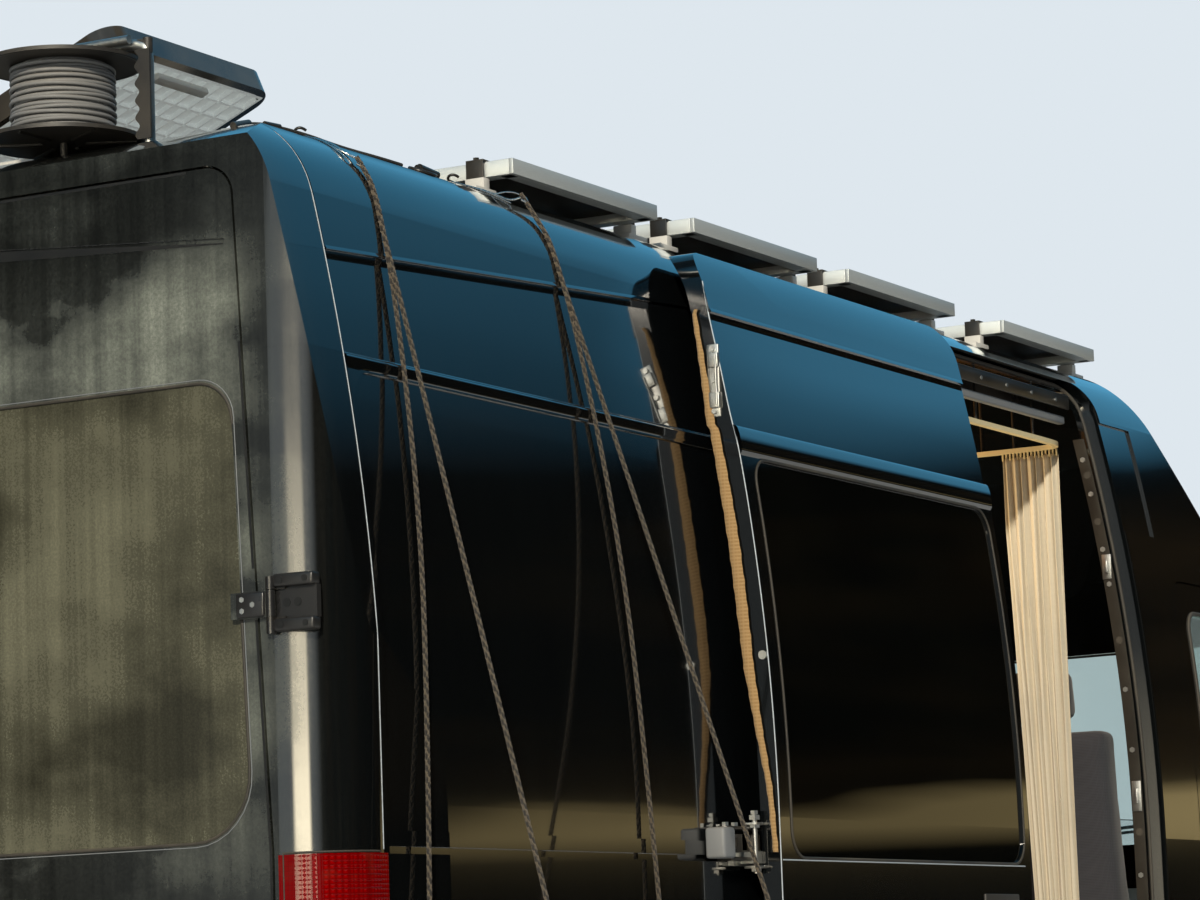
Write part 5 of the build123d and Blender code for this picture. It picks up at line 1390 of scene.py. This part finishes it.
def makeDoorway():
    look = doorwayLook
    (x0, x1), (z0, z1), floor = look["x"], look["z"], look["floorZ"]
    skin = skinOf("side_panel_right", "roof_panel", "roof_side_right", "pillar_right")
    # two seals round the doorway, on the edge of the opening
    for name, grow, lift, radius, material in (("doorwaySealOuter", 0.0100, 0.0015, 0.0052, "rubber"),
                                               ("doorwaySealEdge", 0.0045, -0.004, 0.0022, "greyCap")):
        corners = [(x, z, look["radius"]) for x, z in ((x0 - grow, z0 - grow), (x1 + grow, z0 - grow),
                                                       (x1 + grow, z1 + grow), (x0 - grow, z1 + grow))]
        ringTube(name, onSide(skin, densify(roundedOutline(corners, 8), 0.05), -1, lift), radius, material)
    # the top track: a channel with a rolled lip and a lighter lower rail, following the opening
    build("doorTrack", ("satin", "dark_trim"), [
        (box, (x0 + 0.040, y, z1 + low), (x1 - 0.030, y + deep, z1 + high), bevel)
        for y, deep, low, high, bevel in ((-0.812, 0.112, -0.030, -0.022, 0.002),
                                          (-0.812, 0.008, -0.062, -0.024, 0.002),
                                          (-0.745, 0.015, -0.075, -0.024, 0.003))])
    build("doorTrackRail", "greyCap", [
        (box, (x0 + 0.020, -0.792, z1 - 0.100), (x1 - 0.020, -0.770, z1 - 0.078), 0.004, 3)])
    build("doorTrackBolts", "zinc", [
        (rod, (x, -0.8135, z1 - 0.043), (x, -0.8115, z1 - 0.043), 0.006, 6)
        for x in (x0 + 0.12 + step * 0.175 for step in range(7))])

    # lining of the pillar in front of the doorway, with its holes, bolts and latch plates
    def pillarY(z):
        return touchSide(skin, x1 + 0.030, z, -1)[0].y

    bm = bmesh.new()
    rows = [[(x1 - back, pillarY(z) + inward, z) for back, inward in look["lining"]]
            for z in steps(*look["liningZ"], 23)]
    for low, high in zip(rows, rows[1:]):
        for side in range(2):
            bm.faces.new([bm.verts.new(p) for p in (low[side], low[side + 1], high[side + 1], high[side])])
    bmesh.ops.remove_doubles(bm, verts=bm.verts, dist=0.0001)
    newPiece(bm, "pillarLining", ("satin", "dark_trim"), smooth=60)
    build("pillarBolts", "zinc", [
        (rod, (x1 - 0.0060, pillarY(z) + 0.024, z), (x1 - 0.0012, pillarY(z) + 0.024, z), 0.0078, 6)
        for z in look["boltZ"]])
    build("pillarHoles", "rubber", [
        (rod, (x1 - 0.0032, pillarY(z) + 0.022, z), (x1 - 0.0020, pillarY(z) + 0.022, z), 0.0105, 20)
        for z in look["holeZ"]])
    build("pillarPlates", "zinc", [
        (box, (x1 - out, pillarY(z) + near, z - tall / part),
         (x1 - back, pillarY(z) + far, z + tall / part), bevel)
        for z, tall in look["plates"]
        for out, near, back, far, part, bevel in ((0.0052, 0.009, 0.0010, 0.036, 2, 0.0015),
                                                  (0.0140, 0.016, 0.0050, 0.026, 4, 0.002))])
    # ribbed threshold on the floor's edge
    build("threshold", "aluminium", [
        (box, (x0 + 0.05, -0.934, floor), (x1 - 0.05, -0.862, floor + 0.0030), 0.001)] + [
        (box, (x0 + 0.06, -0.929 + rib * 0.0115, floor + 0.0028),
         (x1 - 0.06, -0.924 + rib * 0.0115, floor + 0.0044))
        for rib in range(6)])


makeDoorway()
print("doorway made")


# Curtain behind the cab: hung in folds from a bent ceiling track, then let to settle as cloth
curtainLook = {"x": 0.855, "top": 2.414, "low": 0.790, "topY": (-0.735, -0.560), "lowY": (-0.738, -0.622),
               "folds": 7.5, "deep": 0.0105, "cut": 0.46, "hem": 0.04, "columns": 90, "rows": 96,
               "frames": 22, "cap": 0.012, "track": 2.4340, "tapeTop": 2.4285,
               "route": [(0.140, -0.757), (0.45, -0.757), (0.72, -0.757), (0.810, -0.752), (0.850, -0.715),
                         (0.855, -0.650), (0.855, -0.480)],
               "hangers": [(0.22, -0.757), (0.62, -0.757), (0.855, -0.60), (0.855, -0.50)]}


def simulate(mesh, frames, cap, pinned=(), pressure=0.0, gravity=0.0):
    # lets a mesh settle as cloth and keeps the result, no point moving further than the cap
    piece = bpy.data.objects.new("settling", mesh)
    bpy.context.scene.collection.objects.link(piece)
    before = [v.co.copy() for v in mesh.vertices]
    cloth = piece.modifiers.new("settling", "CLOTH")
    values = cloth.settings
    values.quality, values.mass = 6, 0.25
    values.tension_stiffness = values.compression_stiffness = 12
    values.shear_stiffness, values.bending_stiffness = 4, 0.4
    values.effector_weights.gravity = gravity
    if pinned:
        piece.vertex_groups.new(name="pinned").add(pinned, 1.0, "REPLACE")
        values.vertex_group_mass = "pinned"
    if pressure:
        values.use_pressure, values.uniform_pressure_force = True, pressure
    cloth.collision_settings.use_collision = False
    cloth.point_cache.frame_start, cloth.point_cache.frame_end = 1, frames
    for step in range(1, frames + 1):
        bpy.context.scene.frame_set(step)
    settled = evaluated(piece)
    bpy.context.scene.frame_set(1)
    for vert, start in zip(settled.vertices, before):
        move = vert.co - start
        if move.length > cap:
            vert.co = start + move.normalized() * cap
    return settled


def makeCurtain():
    look = curtainLook
    bm = bmesh.new()
    bmesh.ops.create_grid(bm, x_segments=look["columns"], y_segments=look["rows"], size=0.5)
    wave = math.pi * look["folds"]
    for vert in bm.verts:
        across, up = vert.co.x + 0.5, vert.co.y + 0.5
        sag = (1 - up) ** 0.8
        low, high = (look[key][0] + (look[key][1] - look[key][0]) * across for key in ("lowY", "topY"))
        drift = 0.35 * math.sin(3.1 * across + 5 * sag) * sag
        fold = math.sin(2 * wave * across + drift) + 0.25 * math.sin(4.7 * wave * across + 1.3 + 2.4 * sag)
        deep = look["deep"] * (0.62 + 0.38 * min(1.0, sag * 4))
        vert.co = Vector((look["x"] + deep * fold,
                          high + (low - high) * sag + 0.0035 * math.sin(wave * across + 4 * sag),
                          look["low"] + (look["top"] - look["low"]) * up))
    mesh = bpy.data.meshes.new("curtainCloth")
    bm.to_mesh(mesh)
    bm.free()
    top = max(v.co.z for v in mesh.vertices)
    pinned = [v.index for v in mesh.vertices if v.co.z > top - 0.012]
    mesh = simulate(mesh, look["frames"], look["cap"], pinned, gravity=1.0)
    mesh.name = "curtainCloth"
    piece = placePiece(mesh, "curtainCloth", "curtain", smooth=0, replaced=("curtain",))
    mesh.shade_smooth()
    thick = piece.modifiers.new("thick", "SOLIDIFY")
    thick.thickness, thick.offset = 0.0008, 0.0


def makeCurtainTrack():
    look = curtainLook
    places = curvePoints([(x, y, look["track"]) for x, y in look["route"]])
    bm = bmesh.new()
    rings = []
    for place, (side, _) in zip(places, frameAlong(places)):
        flat = Vector((side.x, side.y, 0)).normalized()
        rings.append([bm.verts.new(place + flat * a + Vector((0, 0, b)))
                      for a, b in ((-0.009, -0.0065), (0.009, -0.0065), (0.009, 0.0065), (-0.009, 0.0065))])
    bridge(bm, rings)
    newPiece(bm, "curtainTrack", "ivory", replaced=("curtain",))
    hangers = []
    for x, y in look["hangers"]:
        ceiling, _ = touch(skinOf("roof_panel"), (x, y, 2.2), (0, 0, 1))
        hangers.append((rod, (x, y, look["track"] + 0.004), (x, y, ceiling.z + 0.004), 0.004, 12))
    build("curtainHangers", "satin", hangers)
    x, (near, far) = look["x"], look["topY"]
    build("curtainTape", "ivory", [
        (box, (x - 0.003, y - 0.0025, look["top"] - 0.006), (x + 0.003, y + 0.0025, look["tapeTop"]),
         0.0006)
        for y in steps(near + 0.004, far - 0.004, 16)])


makeCurtainTrack()
makeCurtain()
print("curtain hung")


# Inside: wood ceiling, kitchen fronts, sink, tap and hob, floor boards
insideLook = {"boardX": (-2.30, -1.5, -0.6, 0.3, 1.05), "boardY": -0.60, "boardWide": 0.100, "boards": 12,
              "boardThick": 0.009, "kitchenY": 0.330,
              "doors": ((-0.680, -0.250), (-0.230, 0.200), (0.220, 0.680)),
              "doorZ": ((0.74, 1.26), (1.28, 1.47)),
              "tap": [(0.80, 1.54), (0.80, 1.66), (0.785, 1.735), (0.72, 1.765), (0.655, 1.745),
                      (0.64, 1.70)], "tapX": -0.38, "hobX": (0.21, 0.47), "hobY": 0.61}


def makeCeiling():
    # tongued boards under the roof, seen above the curtain
    look = insideLook
    bm = bmesh.new()
    for board in range(look["boards"]):
        y = look["boardY"] + look["boardWide"] * board
        rings = []
        for x in look["boardX"]:
            ring = []
            for across in (y + 0.0015, y + 0.097):
                spot, _ = touch(skinOf("roof_panel"), (x, across, 2.0), (0, 0, 1))
                ring.append(Vector((x, across, (spot.z if spot else 2.64) - 0.0015)))
            rings.append(ring + [spot - Vector((0, 0, look["boardThick"])) for spot in reversed(ring)])
        for near, far in zip(rings, rings[1:]):
            bridge(bm, [[bm.verts.new(spot) for spot in ring] for ring in (near, far)])
    newPiece(bm, "ceilingBoards", "ceilingWood", smooth=0)


def makeKitchen():
    look = insideLook
    front = look["kitchenY"]
    doors, handles = [], []
    for x0, x1 in look["doors"]:
        for z0, z1 in look["doorZ"]:
            y, z = front - 0.046, z1 - 0.045
            doors.append((box, (x0, front - 0.018, z0), (x1, front - 0.0005, z1), 0.002))
            handles.append((rod, (x0 + 0.12, y, z), (x1 - 0.12, y, z), 0.005, 12))
            handles += [(rod, (x, y, z), (x, front - 0.017, z), 0.0042, 10) for x in (x0 + 0.13, x1 - 0.13)]
    build("kitchenDoors", "oakUpright", doors)
    build("kitchenHandles", "zinc", handles)
    build("sinkRim", "wire", [(box, (-0.60, 0.44, 1.5402), (-0.16, 0.80, 1.5432), 0.0012)])
    build("sinkBowl", "discSteel", [
        (box, (-0.575, 0.465, 1.5425), (-0.185, 0.775, 1.5440), 0.0005)])
    tubes("tap", [[(look["tapX"], y, z) for y, z in look["tap"]]], 0.0095, "wire", sides=4)
    build("hobPlate", "satin", [(box, (0.08, 0.42, 1.5402), (0.60, 0.80, 1.5465), 0.003)])
    rings = [[(*spot, 1.556) for spot in circle(x, look["hobY"], radius, 24)]
             for x in look["hobX"] for radius in (0.045, 0.062)]
    tubes("hobRings", rings, 0.0045, "castIron", closed=True, kind="POLY", sides=2)
    grates = []
    for x in look["hobX"]:
        for turn in range(4):
            angle = math.pi / 4 + math.pi * turn / 2
            spots = [(x + reach * math.cos(angle), look["hobY"] + reach * math.sin(angle), z)
                     for reach, z in ((0.03, 1.558), (0.095, 1.558), (0.095, 1.546), (0.095, 1.560))]
            grates += [(rod, *spots[:2], 0.004, 8), (rod, *spots[2:], 0.004, 8)]
    build("hobGrates", "castIron", grates)
    build("hobKnobs", ("plastic", "black_plastic"), [
        (rod, (x, 0.445, 1.546), (x, 0.445, 1.562), 0.012, 20) for x in (0.21, 0.34, 0.47)])
    # floor boards between the kitchen and the door
    build("floorBoards", "oak", [
        (box, (-1.50, -0.880 + board * 0.132, 0.6402), (1.060, -0.7495 + board * 0.132, 0.6455), 0.0008)
        for board in range(9)])


makeCeiling()
makeKitchen()


# Cab seats and mattress: foam pads in covers, swollen a little as cloth
padLook = {"seats": (0.440, -0.440), "frames": 20, "pressure": 4.0, "cap": 0.009, "round": 0.024,
           "seatParts": (
               ("seatCushion", 0.240, 0.020, 0.7,
                [(1.345, 0.908), (1.862, 0.908), (1.868, 0.990), (1.820, 1.008), (1.345, 0.996)]),
               ("seatBack", 0.235, 0.020, 0.6,
                [(1.330, 1.008), (1.448, 1.008), (1.352, 1.652), (1.250, 1.652)]),
               ("headrest", 0.122, 0.014, 0.6,
                [(1.258, 1.680), (1.342, 1.680), (1.322, 1.828), (1.250, 1.828)])),
           "mattress": [(-3.308, 1.2310), (-1.592, 1.2310), (-1.592, 1.3300), (-3.308, 1.3300)],
           "mattressHalf": 0.888}


def pad(name, outline, low, high, voxel, cloth, replacedNode):
    # an outline in X and Z, drawn out from low to high in Y and swollen
    look = padLook
    bm = bmesh.new()
    face = bm.faces.new([bm.verts.new((x, low, z)) for x, z in outline])
    drawn = bmesh.ops.extrude_face_region(bm, geom=[face])["geom"]
    bmesh.ops.translate(bm, verts=[each for each in drawn if isinstance(each, bmesh.types.BMVert)],
                        vec=(0, high - low, 0))
    bmesh.ops.recalc_face_normals(bm, faces=bm.faces)
    bmesh.ops.bevel(bm, geom=list(bm.edges), offset=look["round"], segments=4, profile=0.5, affect="EDGES",
                    clamp_overlap=True)
    mesh = bpy.data.meshes.new(name)
    bm.to_mesh(mesh)
    bm.free()
    holder = bpy.data.objects.new("remeshing", mesh)
    grid = holder.modifiers.new("grid", "REMESH")
    grid.mode, grid.voxel_size = "VOXEL", voxel
    mesh = evaluated(holder)
    mesh = simulate(mesh, look["frames"], look["cap"], pressure=look["pressure"])
    mesh.name = name
    piece = placePiece(mesh, name, cloth, smooth=80, replaced=(replacedNode,))
    rounder = piece.modifiers.new("rounder", "SUBSURF")
    rounder.levels = rounder.render_levels = 1


def makePads():
    look = padLook
    for y in look["seats"]:
        side = "Left" if y > 0 else "Right"
        for part, half, voxel, fill, outline in look["seatParts"]:
            pad(part + side, outline, y - half, y + half, voxel, "seat", "cab_seats")
        build("seatBase" + side, "plastic", [
            (box, (1.352, y - 0.232, 0.6405), (1.828, y + 0.232, 0.862), 0.012, 3)] + [
            (box, (1.356, rail - 0.018, 0.858), (1.824, rail + 0.018, 0.906), 0.003)
            for rail in (y - 0.175, y + 0.175)], replaced=("cab_seats",))
        build("seatPosts" + side, "zinc", [
            (rod, (1.302, post, 1.630), (1.296, post, 1.700), 0.0065, 16)
            for post in (y - 0.055, y + 0.055)] + [
            (rod, (1.60, y - 0.236, 0.885), (1.60, y + 0.236, 0.885), 0.008, 16)], replaced=("cab_seats",))
    pad("mattressPad", look["mattress"], -look["mattressHalf"], look["mattressHalf"], 0.030, "mattress",
        "mattress")


makePads()
print("inside made")


# Wheels: tyres with tread and sidewall ribs, nuts, caps, valve and brake discs
wheelLook = {"front": 2.4685, "rear": -1.8565, "z": 0.356, "y": 0.855, "blocks": 68, "blockShare": 0.78,
             "rows": ((-0.090, -0.060, 0.5), (-0.053, -0.020, 0.5), (-0.0135, 0.0135, 0.0),
                      (0.020, 0.053, -0.5), (0.060, 0.090, -0.5)),
             "wall": [(0.085, 0.2125), (0.092, 0.218), (0.104, 0.236), (0.1125, 0.262), (0.1172, 0.284),
                      (0.1150, 0.305), (0.108, 0.326), (0.098, 0.3405), (0.086, 0.3475)],
             "ribs": ((0.1168, 0.292), (0.1140, 0.262), (0.1065, 0.2405)), "face": 0.018, "nutReach": 0.066,
             "disc": [(-0.0515, 0.060), (-0.0515, 0.150), (-0.0425, 0.150), (-0.0425, 0.0885),
                      (-0.0335, 0.0885), (-0.0335, 0.060)]}


def ringOf(bm, profile, middle, k, count=96):
    # a full turn of an (across, radius) profile round the wheel's axle
    points = [bm.verts.new(Vector((0, k * across, radius))) for across, radius in profile]
    edges = [bm.edges.new((a, b)) for a, b in zip(points, points[1:] + points[:1])]
    bmesh.ops.spin(bm, geom=points + edges, axis=(0, 1, 0), cent=(0, 0, 0), steps=count,
                   angle=2 * math.pi, use_merge=True)
    bmesh.ops.remove_doubles(bm, verts=bm.verts, dist=0.00005)
    bmesh.ops.translate(bm, verts=bm.verts, vec=middle)


def treadBlocks(bm, middle):
    # blocks between the grooves, each a low wedge that leans with the tread and is lower on the shoulder
    look = wheelLook
    pitch = 2 * math.pi / look["blocks"]
    for row, (low, high, lean) in enumerate(look["rows"]):
        for step in range(look["blocks"]):
            verts = []
            for across, skew in ((low, -lean), (high, lean)):
                for turn in (0.0, 1.0):
                    angle = pitch * (step + 0.25 * row + look["blockShare"] * (turn + skew * 0.45))
                    for radius in (0.338, 0.3500) if abs(across) > 0.085 else (0.3455, 0.3558):
                        verts.append(bm.verts.new(middle + Vector((radius * math.sin(angle), across,
                                                                   radius * math.cos(angle)))))
            for quad in ((1, 3, 7, 5), (0, 1, 5, 4), (2, 6, 7, 3), (0, 2, 3, 1), (4, 5, 7, 6)):
                bm.faces.new([verts[i] for i in quad])


def makeWheel(end, k, side):
    look = wheelLook
    body, tyre, name = f"wheel_{end}_{side}", f"tyre_{end}_{side}", end.capitalize() + side.capitalize()
    middle = Vector((look[end], k * look["y"], look["z"]))
    bm = bmesh.new()
    ringOf(bm, [(-y, radius) for y, radius in look["wall"]] + look["wall"][::-1], middle, k)
    newPiece(bm, "tyre" + name, "tyre", body, 40, (tyre,))
    bm = bmesh.new()
    treadBlocks(bm, middle)
    newPiece(bm, "tread" + name, "tyre", body, 25, (tyre,))
    rings = [[middle + Vector((x, way * across, z)) for z, x in circle(0, 0, radius, 72)]
             for across, radius in look["ribs"] for way in (1, -1)]
    tubes("tyreRibs" + name, rings, 0.0016, "tyre", body, True, "POLY", sides=1)

    def off(x, y, z):
        # a place by its way from the hub, with y outwards
        return middle + Vector((x, k * y, z))

    nuts, face = [], look["face"]
    for step in range(6):
        angle = math.pi * step / 3 + 0.26
        x, z = look["nutReach"] * math.cos(angle), look["nutReach"] * math.sin(angle)
        nuts += [(rod, off(x, face - 0.002, z), off(x, face + 0.017, z), 0.0125, 6),
                 (rod, off(x, face + 0.0165, z), off(x, face + 0.024, z), 0.0085, 16, 0.005)]
    build("wheelNuts" + name, "zinc", nuts, body)
    build("wheelCap" + name, ("plastic", "black_plastic"), [
        (rod, off(0, face, 0), off(0, 0.050, 0), 0.0385, 40, 0.034),
        (rod, off(0, 0.049, 0), off(0, 0.053, 0), 0.034, 40, 0.028)], body)
    build("valve" + name, ("rubber", "black_plastic"), [
        (rod, off(0.150, 0.066, 0.112), off(0.140, 0.096, 0.1045), 0.0045, 12),
        (rod, off(0.140, 0.096, 0.1045), off(0.137, 0.104, 0.1025), 0.0052, 12)], body)
    bm = bmesh.new()
    ringOf(bm, look["disc"], middle, k, 72)
    newPiece(bm, "brakeDisc" + name, "discSteel", body)


for end in ("front", "rear"):
    for k, side in sides:
        makeWheel(end, k, side)
print("wheels made")


# Front: grille, lamps, bumper trim, wipers, mirror glass, handles, rub strips, fuel flap and mud flaps
frontLook = {"barZ": (0.722, 0.774, 0.824, 0.874, 0.926), "stripZ": (0.748, 0.850),
             "meshZ": (0.735, 0.82, 0.905),
             "lamps": ((0.655, 0.795, 0.062), (0.690, 0.895, 0.038)), "fog": (0.640, 0.520),
             "turnLamp": ((0.770, 0.770), (0.770, 0.930), (0.815, 0.905), (0.815, 0.790)),
             "wipers": (("Left", (0.560, 1.372), (0.040, 1.400)),
                        ("Right", (-0.050, 1.362), (-0.640, 1.385))),
             "rubZ": 0.905, "rubX": (-3.20, -2.325, -1.390), "flapX": -2.300}


def framed(x0, x1, z0, z1, radius, arcSteps):
    return roundedOutline([(x0, z0, radius), (x1, z0, radius), (x1, z1, radius), (x0, z1, radius)],
                          arcSteps)


def makeGrille():
    look = frontLook
    skin = skinOf("grille", "front_bumper", "bonnet")
    for name, heights, half, lift, radius, chosen, around in (
            ("grilleBars", look["barZ"], 0.535, 0.002, 0.0058, ("satin", "dark_trim"), 3),
            ("grilleStrips", look["stripZ"], 0.515, 0.0078, 0.0026, ("aluminium", "bare_steel"), 2)):
        lines = [onFront(skin, [(y, z) for y in steps(-half, half, 25)], lift) for z in heights]
        tubes(name, lines, radius, chosen, sides=around)
    uprights = [[(3.380 - 0.045 * (y / 0.5) ** 2, y, z) for z in look["meshZ"]]
                for y in steps(-0.5, 0.5, 41)]
    tubes("grilleMesh", uprights, 0.0022, "plastic", kind="POLY", sides=1)
    border = onFront(skin, densify(framed(-0.556, 0.556, 0.696, 0.966, 0.02, 4), 0.05), -0.0008)
    ringTube("grilleBorder", border, 0.0040, ("satin", "dark_trim"))


def makeHeadlamps():
    skin = skinOf("headlamps")
    for k, side in sides:
        name = side.capitalize()
        rings, bulbs = [], []
        for y, z, radius in frontLook["lamps"]:
            rings += [onFront(skin, circle(k * y, z, radius * reach, 32), 0.0008) for reach in (1.0, 0.82)]
            at, normal = touchFront(skin, k * y, z)
            bulbs.append((rod, at - normal * 0.004, at + normal * 0.0016, radius * 0.70, 32))
        # only whole rings: one that runs off the lamp is left out
        tubes("headlampRings" + name, [ring for ring in rings if len(ring) == 32], 0.0022,
              ("wire", "lamp_clear"), closed=True, kind="POLY", sides=2)
        build("headlampBulbs" + name, "darkGlass", bulbs)
        bm = bmesh.new()
        corners = onFront(skin, [(k * y, z) for y, z in frontLook["turnLamp"]], 0.0012)
        bm.faces.new([bm.verts.new(corner) for corner in corners])
        newPiece(bm, "turnLamp" + name, "amberLamp", smooth=0)


def makeBumper():
    skin = skinOf("front_bumper")
    line = onFront(skin, [(y, 0.655) for y in steps(-0.80, 0.80, 31)], -0.0026)
    tubes("bumperLine", [line], 0.0026, ("satin", "dark_trim"))
    bars = [[(3.405 - 0.055 * (y / 0.42) ** 2, y, z) for y in (-0.43, -0.2, 0.0, 0.2, 0.43)]
            for z in (0.470, 0.505, 0.540, 0.575)]
    tubes("bumperBars", bars, 0.0060, "plastic", sides=2)
    fogY, fogZ = frontLook["fog"]
    lamps = []
    for k, side in sides:
        at, normal = touchFront(skin, k * fogY, fogZ)
        lamps.append((rod, at - normal * 0.006, at + normal * 0.002, 0.052, 40))
        ringTube("fogRing" + side.capitalize(), onFront(skin, circle(k * fogY, fogZ, 0.062, 32), 0.001),
                 0.005, ("satin", "dark_trim"), sides=3)
    build("fogLamps", "clearLamp", lamps)
    x = touchFront(skin, 0.20, 0.640)[0].x
    build("frontPlateHolder", "plastic", [
        (box, (x - 0.004, -0.262, 0.578), (x + 0.0040, 0.262, 0.692), 0.0015)])
    build("frontPlate", "plateWhite", [
        (box, (x + 0.0038, -0.255, 0.584), (x + 0.0056, 0.255, 0.686), 0.0007)])


def makeWipers():
    skin = skinOf("windscreen", "front_structure")
    for name, (rootY, rootZ), (tipY, tipZ) in frontLook["wipers"]:
        wide, tall = tipY - rootY, tipZ - rootZ
        arm, blade = [], []
        for t in range(9):
            spot, out = touchFront(skin, rootY + wide * t / 8 * 0.72, rootZ + 0.012 + tall * t / 8 * 0.72)
            arm.append(spot + out * (0.020 + 0.010 * math.sin(math.pi * t / 8)))
        for t in range(15):
            blade += onFront(skin, [(rootY + wide * (0.12 + 0.98 * t / 14),
                                     rootZ + 0.018 + tall * t / 14)], 0.0065)
        tubes("wiperArm" + name, [arm], 0.0058, "satin", sides=3)
        tubes("wiperBlade" + name, [blade], 0.0048, ("rubber", "black_plastic"), sides=2)
        base, out = touchFront(skin, rootY, rootZ)
        build("wiperPivot" + name, "satin", [
            (rod, base - out * 0.004, base + out * 0.030, 0.013, 24)])


def rubStrip(name, body, skin, k, x0, x1, count):
    line = onSide(skin, [(x, frontLook["rubZ"]) for x in steps(x0, x1, count)], k, 0.0006)
    tubes(name, [line], 0.0075, "plastic", body, sides=3)


def makeDoorFittings():
    look = frontLook
    for k, side in sides:
        body, name = f"front_door_{side}", side.capitalize()
        skin = skinOf(body)
        y = touchSide(skin, 1.30, 1.12, k)[0].y
        build("doorHandle" + name, "plastic", [
            (box, (1.190, y - k * 0.004, 1.072), (1.400, y + k * 0.004, 1.168), 0.003),
            (box, (1.200, y + k * 0.020, 1.106), (1.380, y + k * 0.034, 1.134), 0.006, 3)] + [
            (box, (x, y - k * 0.001, 1.109), (x + 0.024, y + k * 0.024, 1.131), 0.004)
            for x in (1.204, 1.352)], body)
        build("mirrorGlass" + name, "mirror", [
            (box, (2.0868, k * 1.064, z0), (2.0892, k * 1.229, z1), 0.0008)
            for z0, z1 in ((1.448, 1.628), (1.372, 1.436))], body)
        rubStrip("doorRub" + name, body, skin, k, 1.16, 2.23, 27)
    for k, side in sides:
        start, arch, onward = look["rubX"]
        end = 1.06 if k == 1 else -0.585
        for piece, (x0, x1) in enumerate(((start, arch), (onward, end))):
            rubStrip(f"sideRub{side.capitalize()}{piece}", "root", skinOf(f"side_panel_{side}"),
                     k, x0, x1, 25)
    # fuel flap behind the left cab door
    flap = framed(0.83, 1.01, 1.00, 1.18, 0.03, 6)
    ringTube("fuelFlap", onSide(skinOf("side_panel_left"), flap, 1, 0.0004), 0.0018, "rubber")
    build("mudFlaps", "rubber", [
        (box, (look["flapX"], k * 0.735, 0.190), (look["flapX"] + 0.005, k * 0.975, 0.455), 0.001)
        for k in (1, -1)])


makeGrille()
makeHeadlamps()
makeBumper()
makeWipers()
makeDoorFittings()
print("front and doors made")
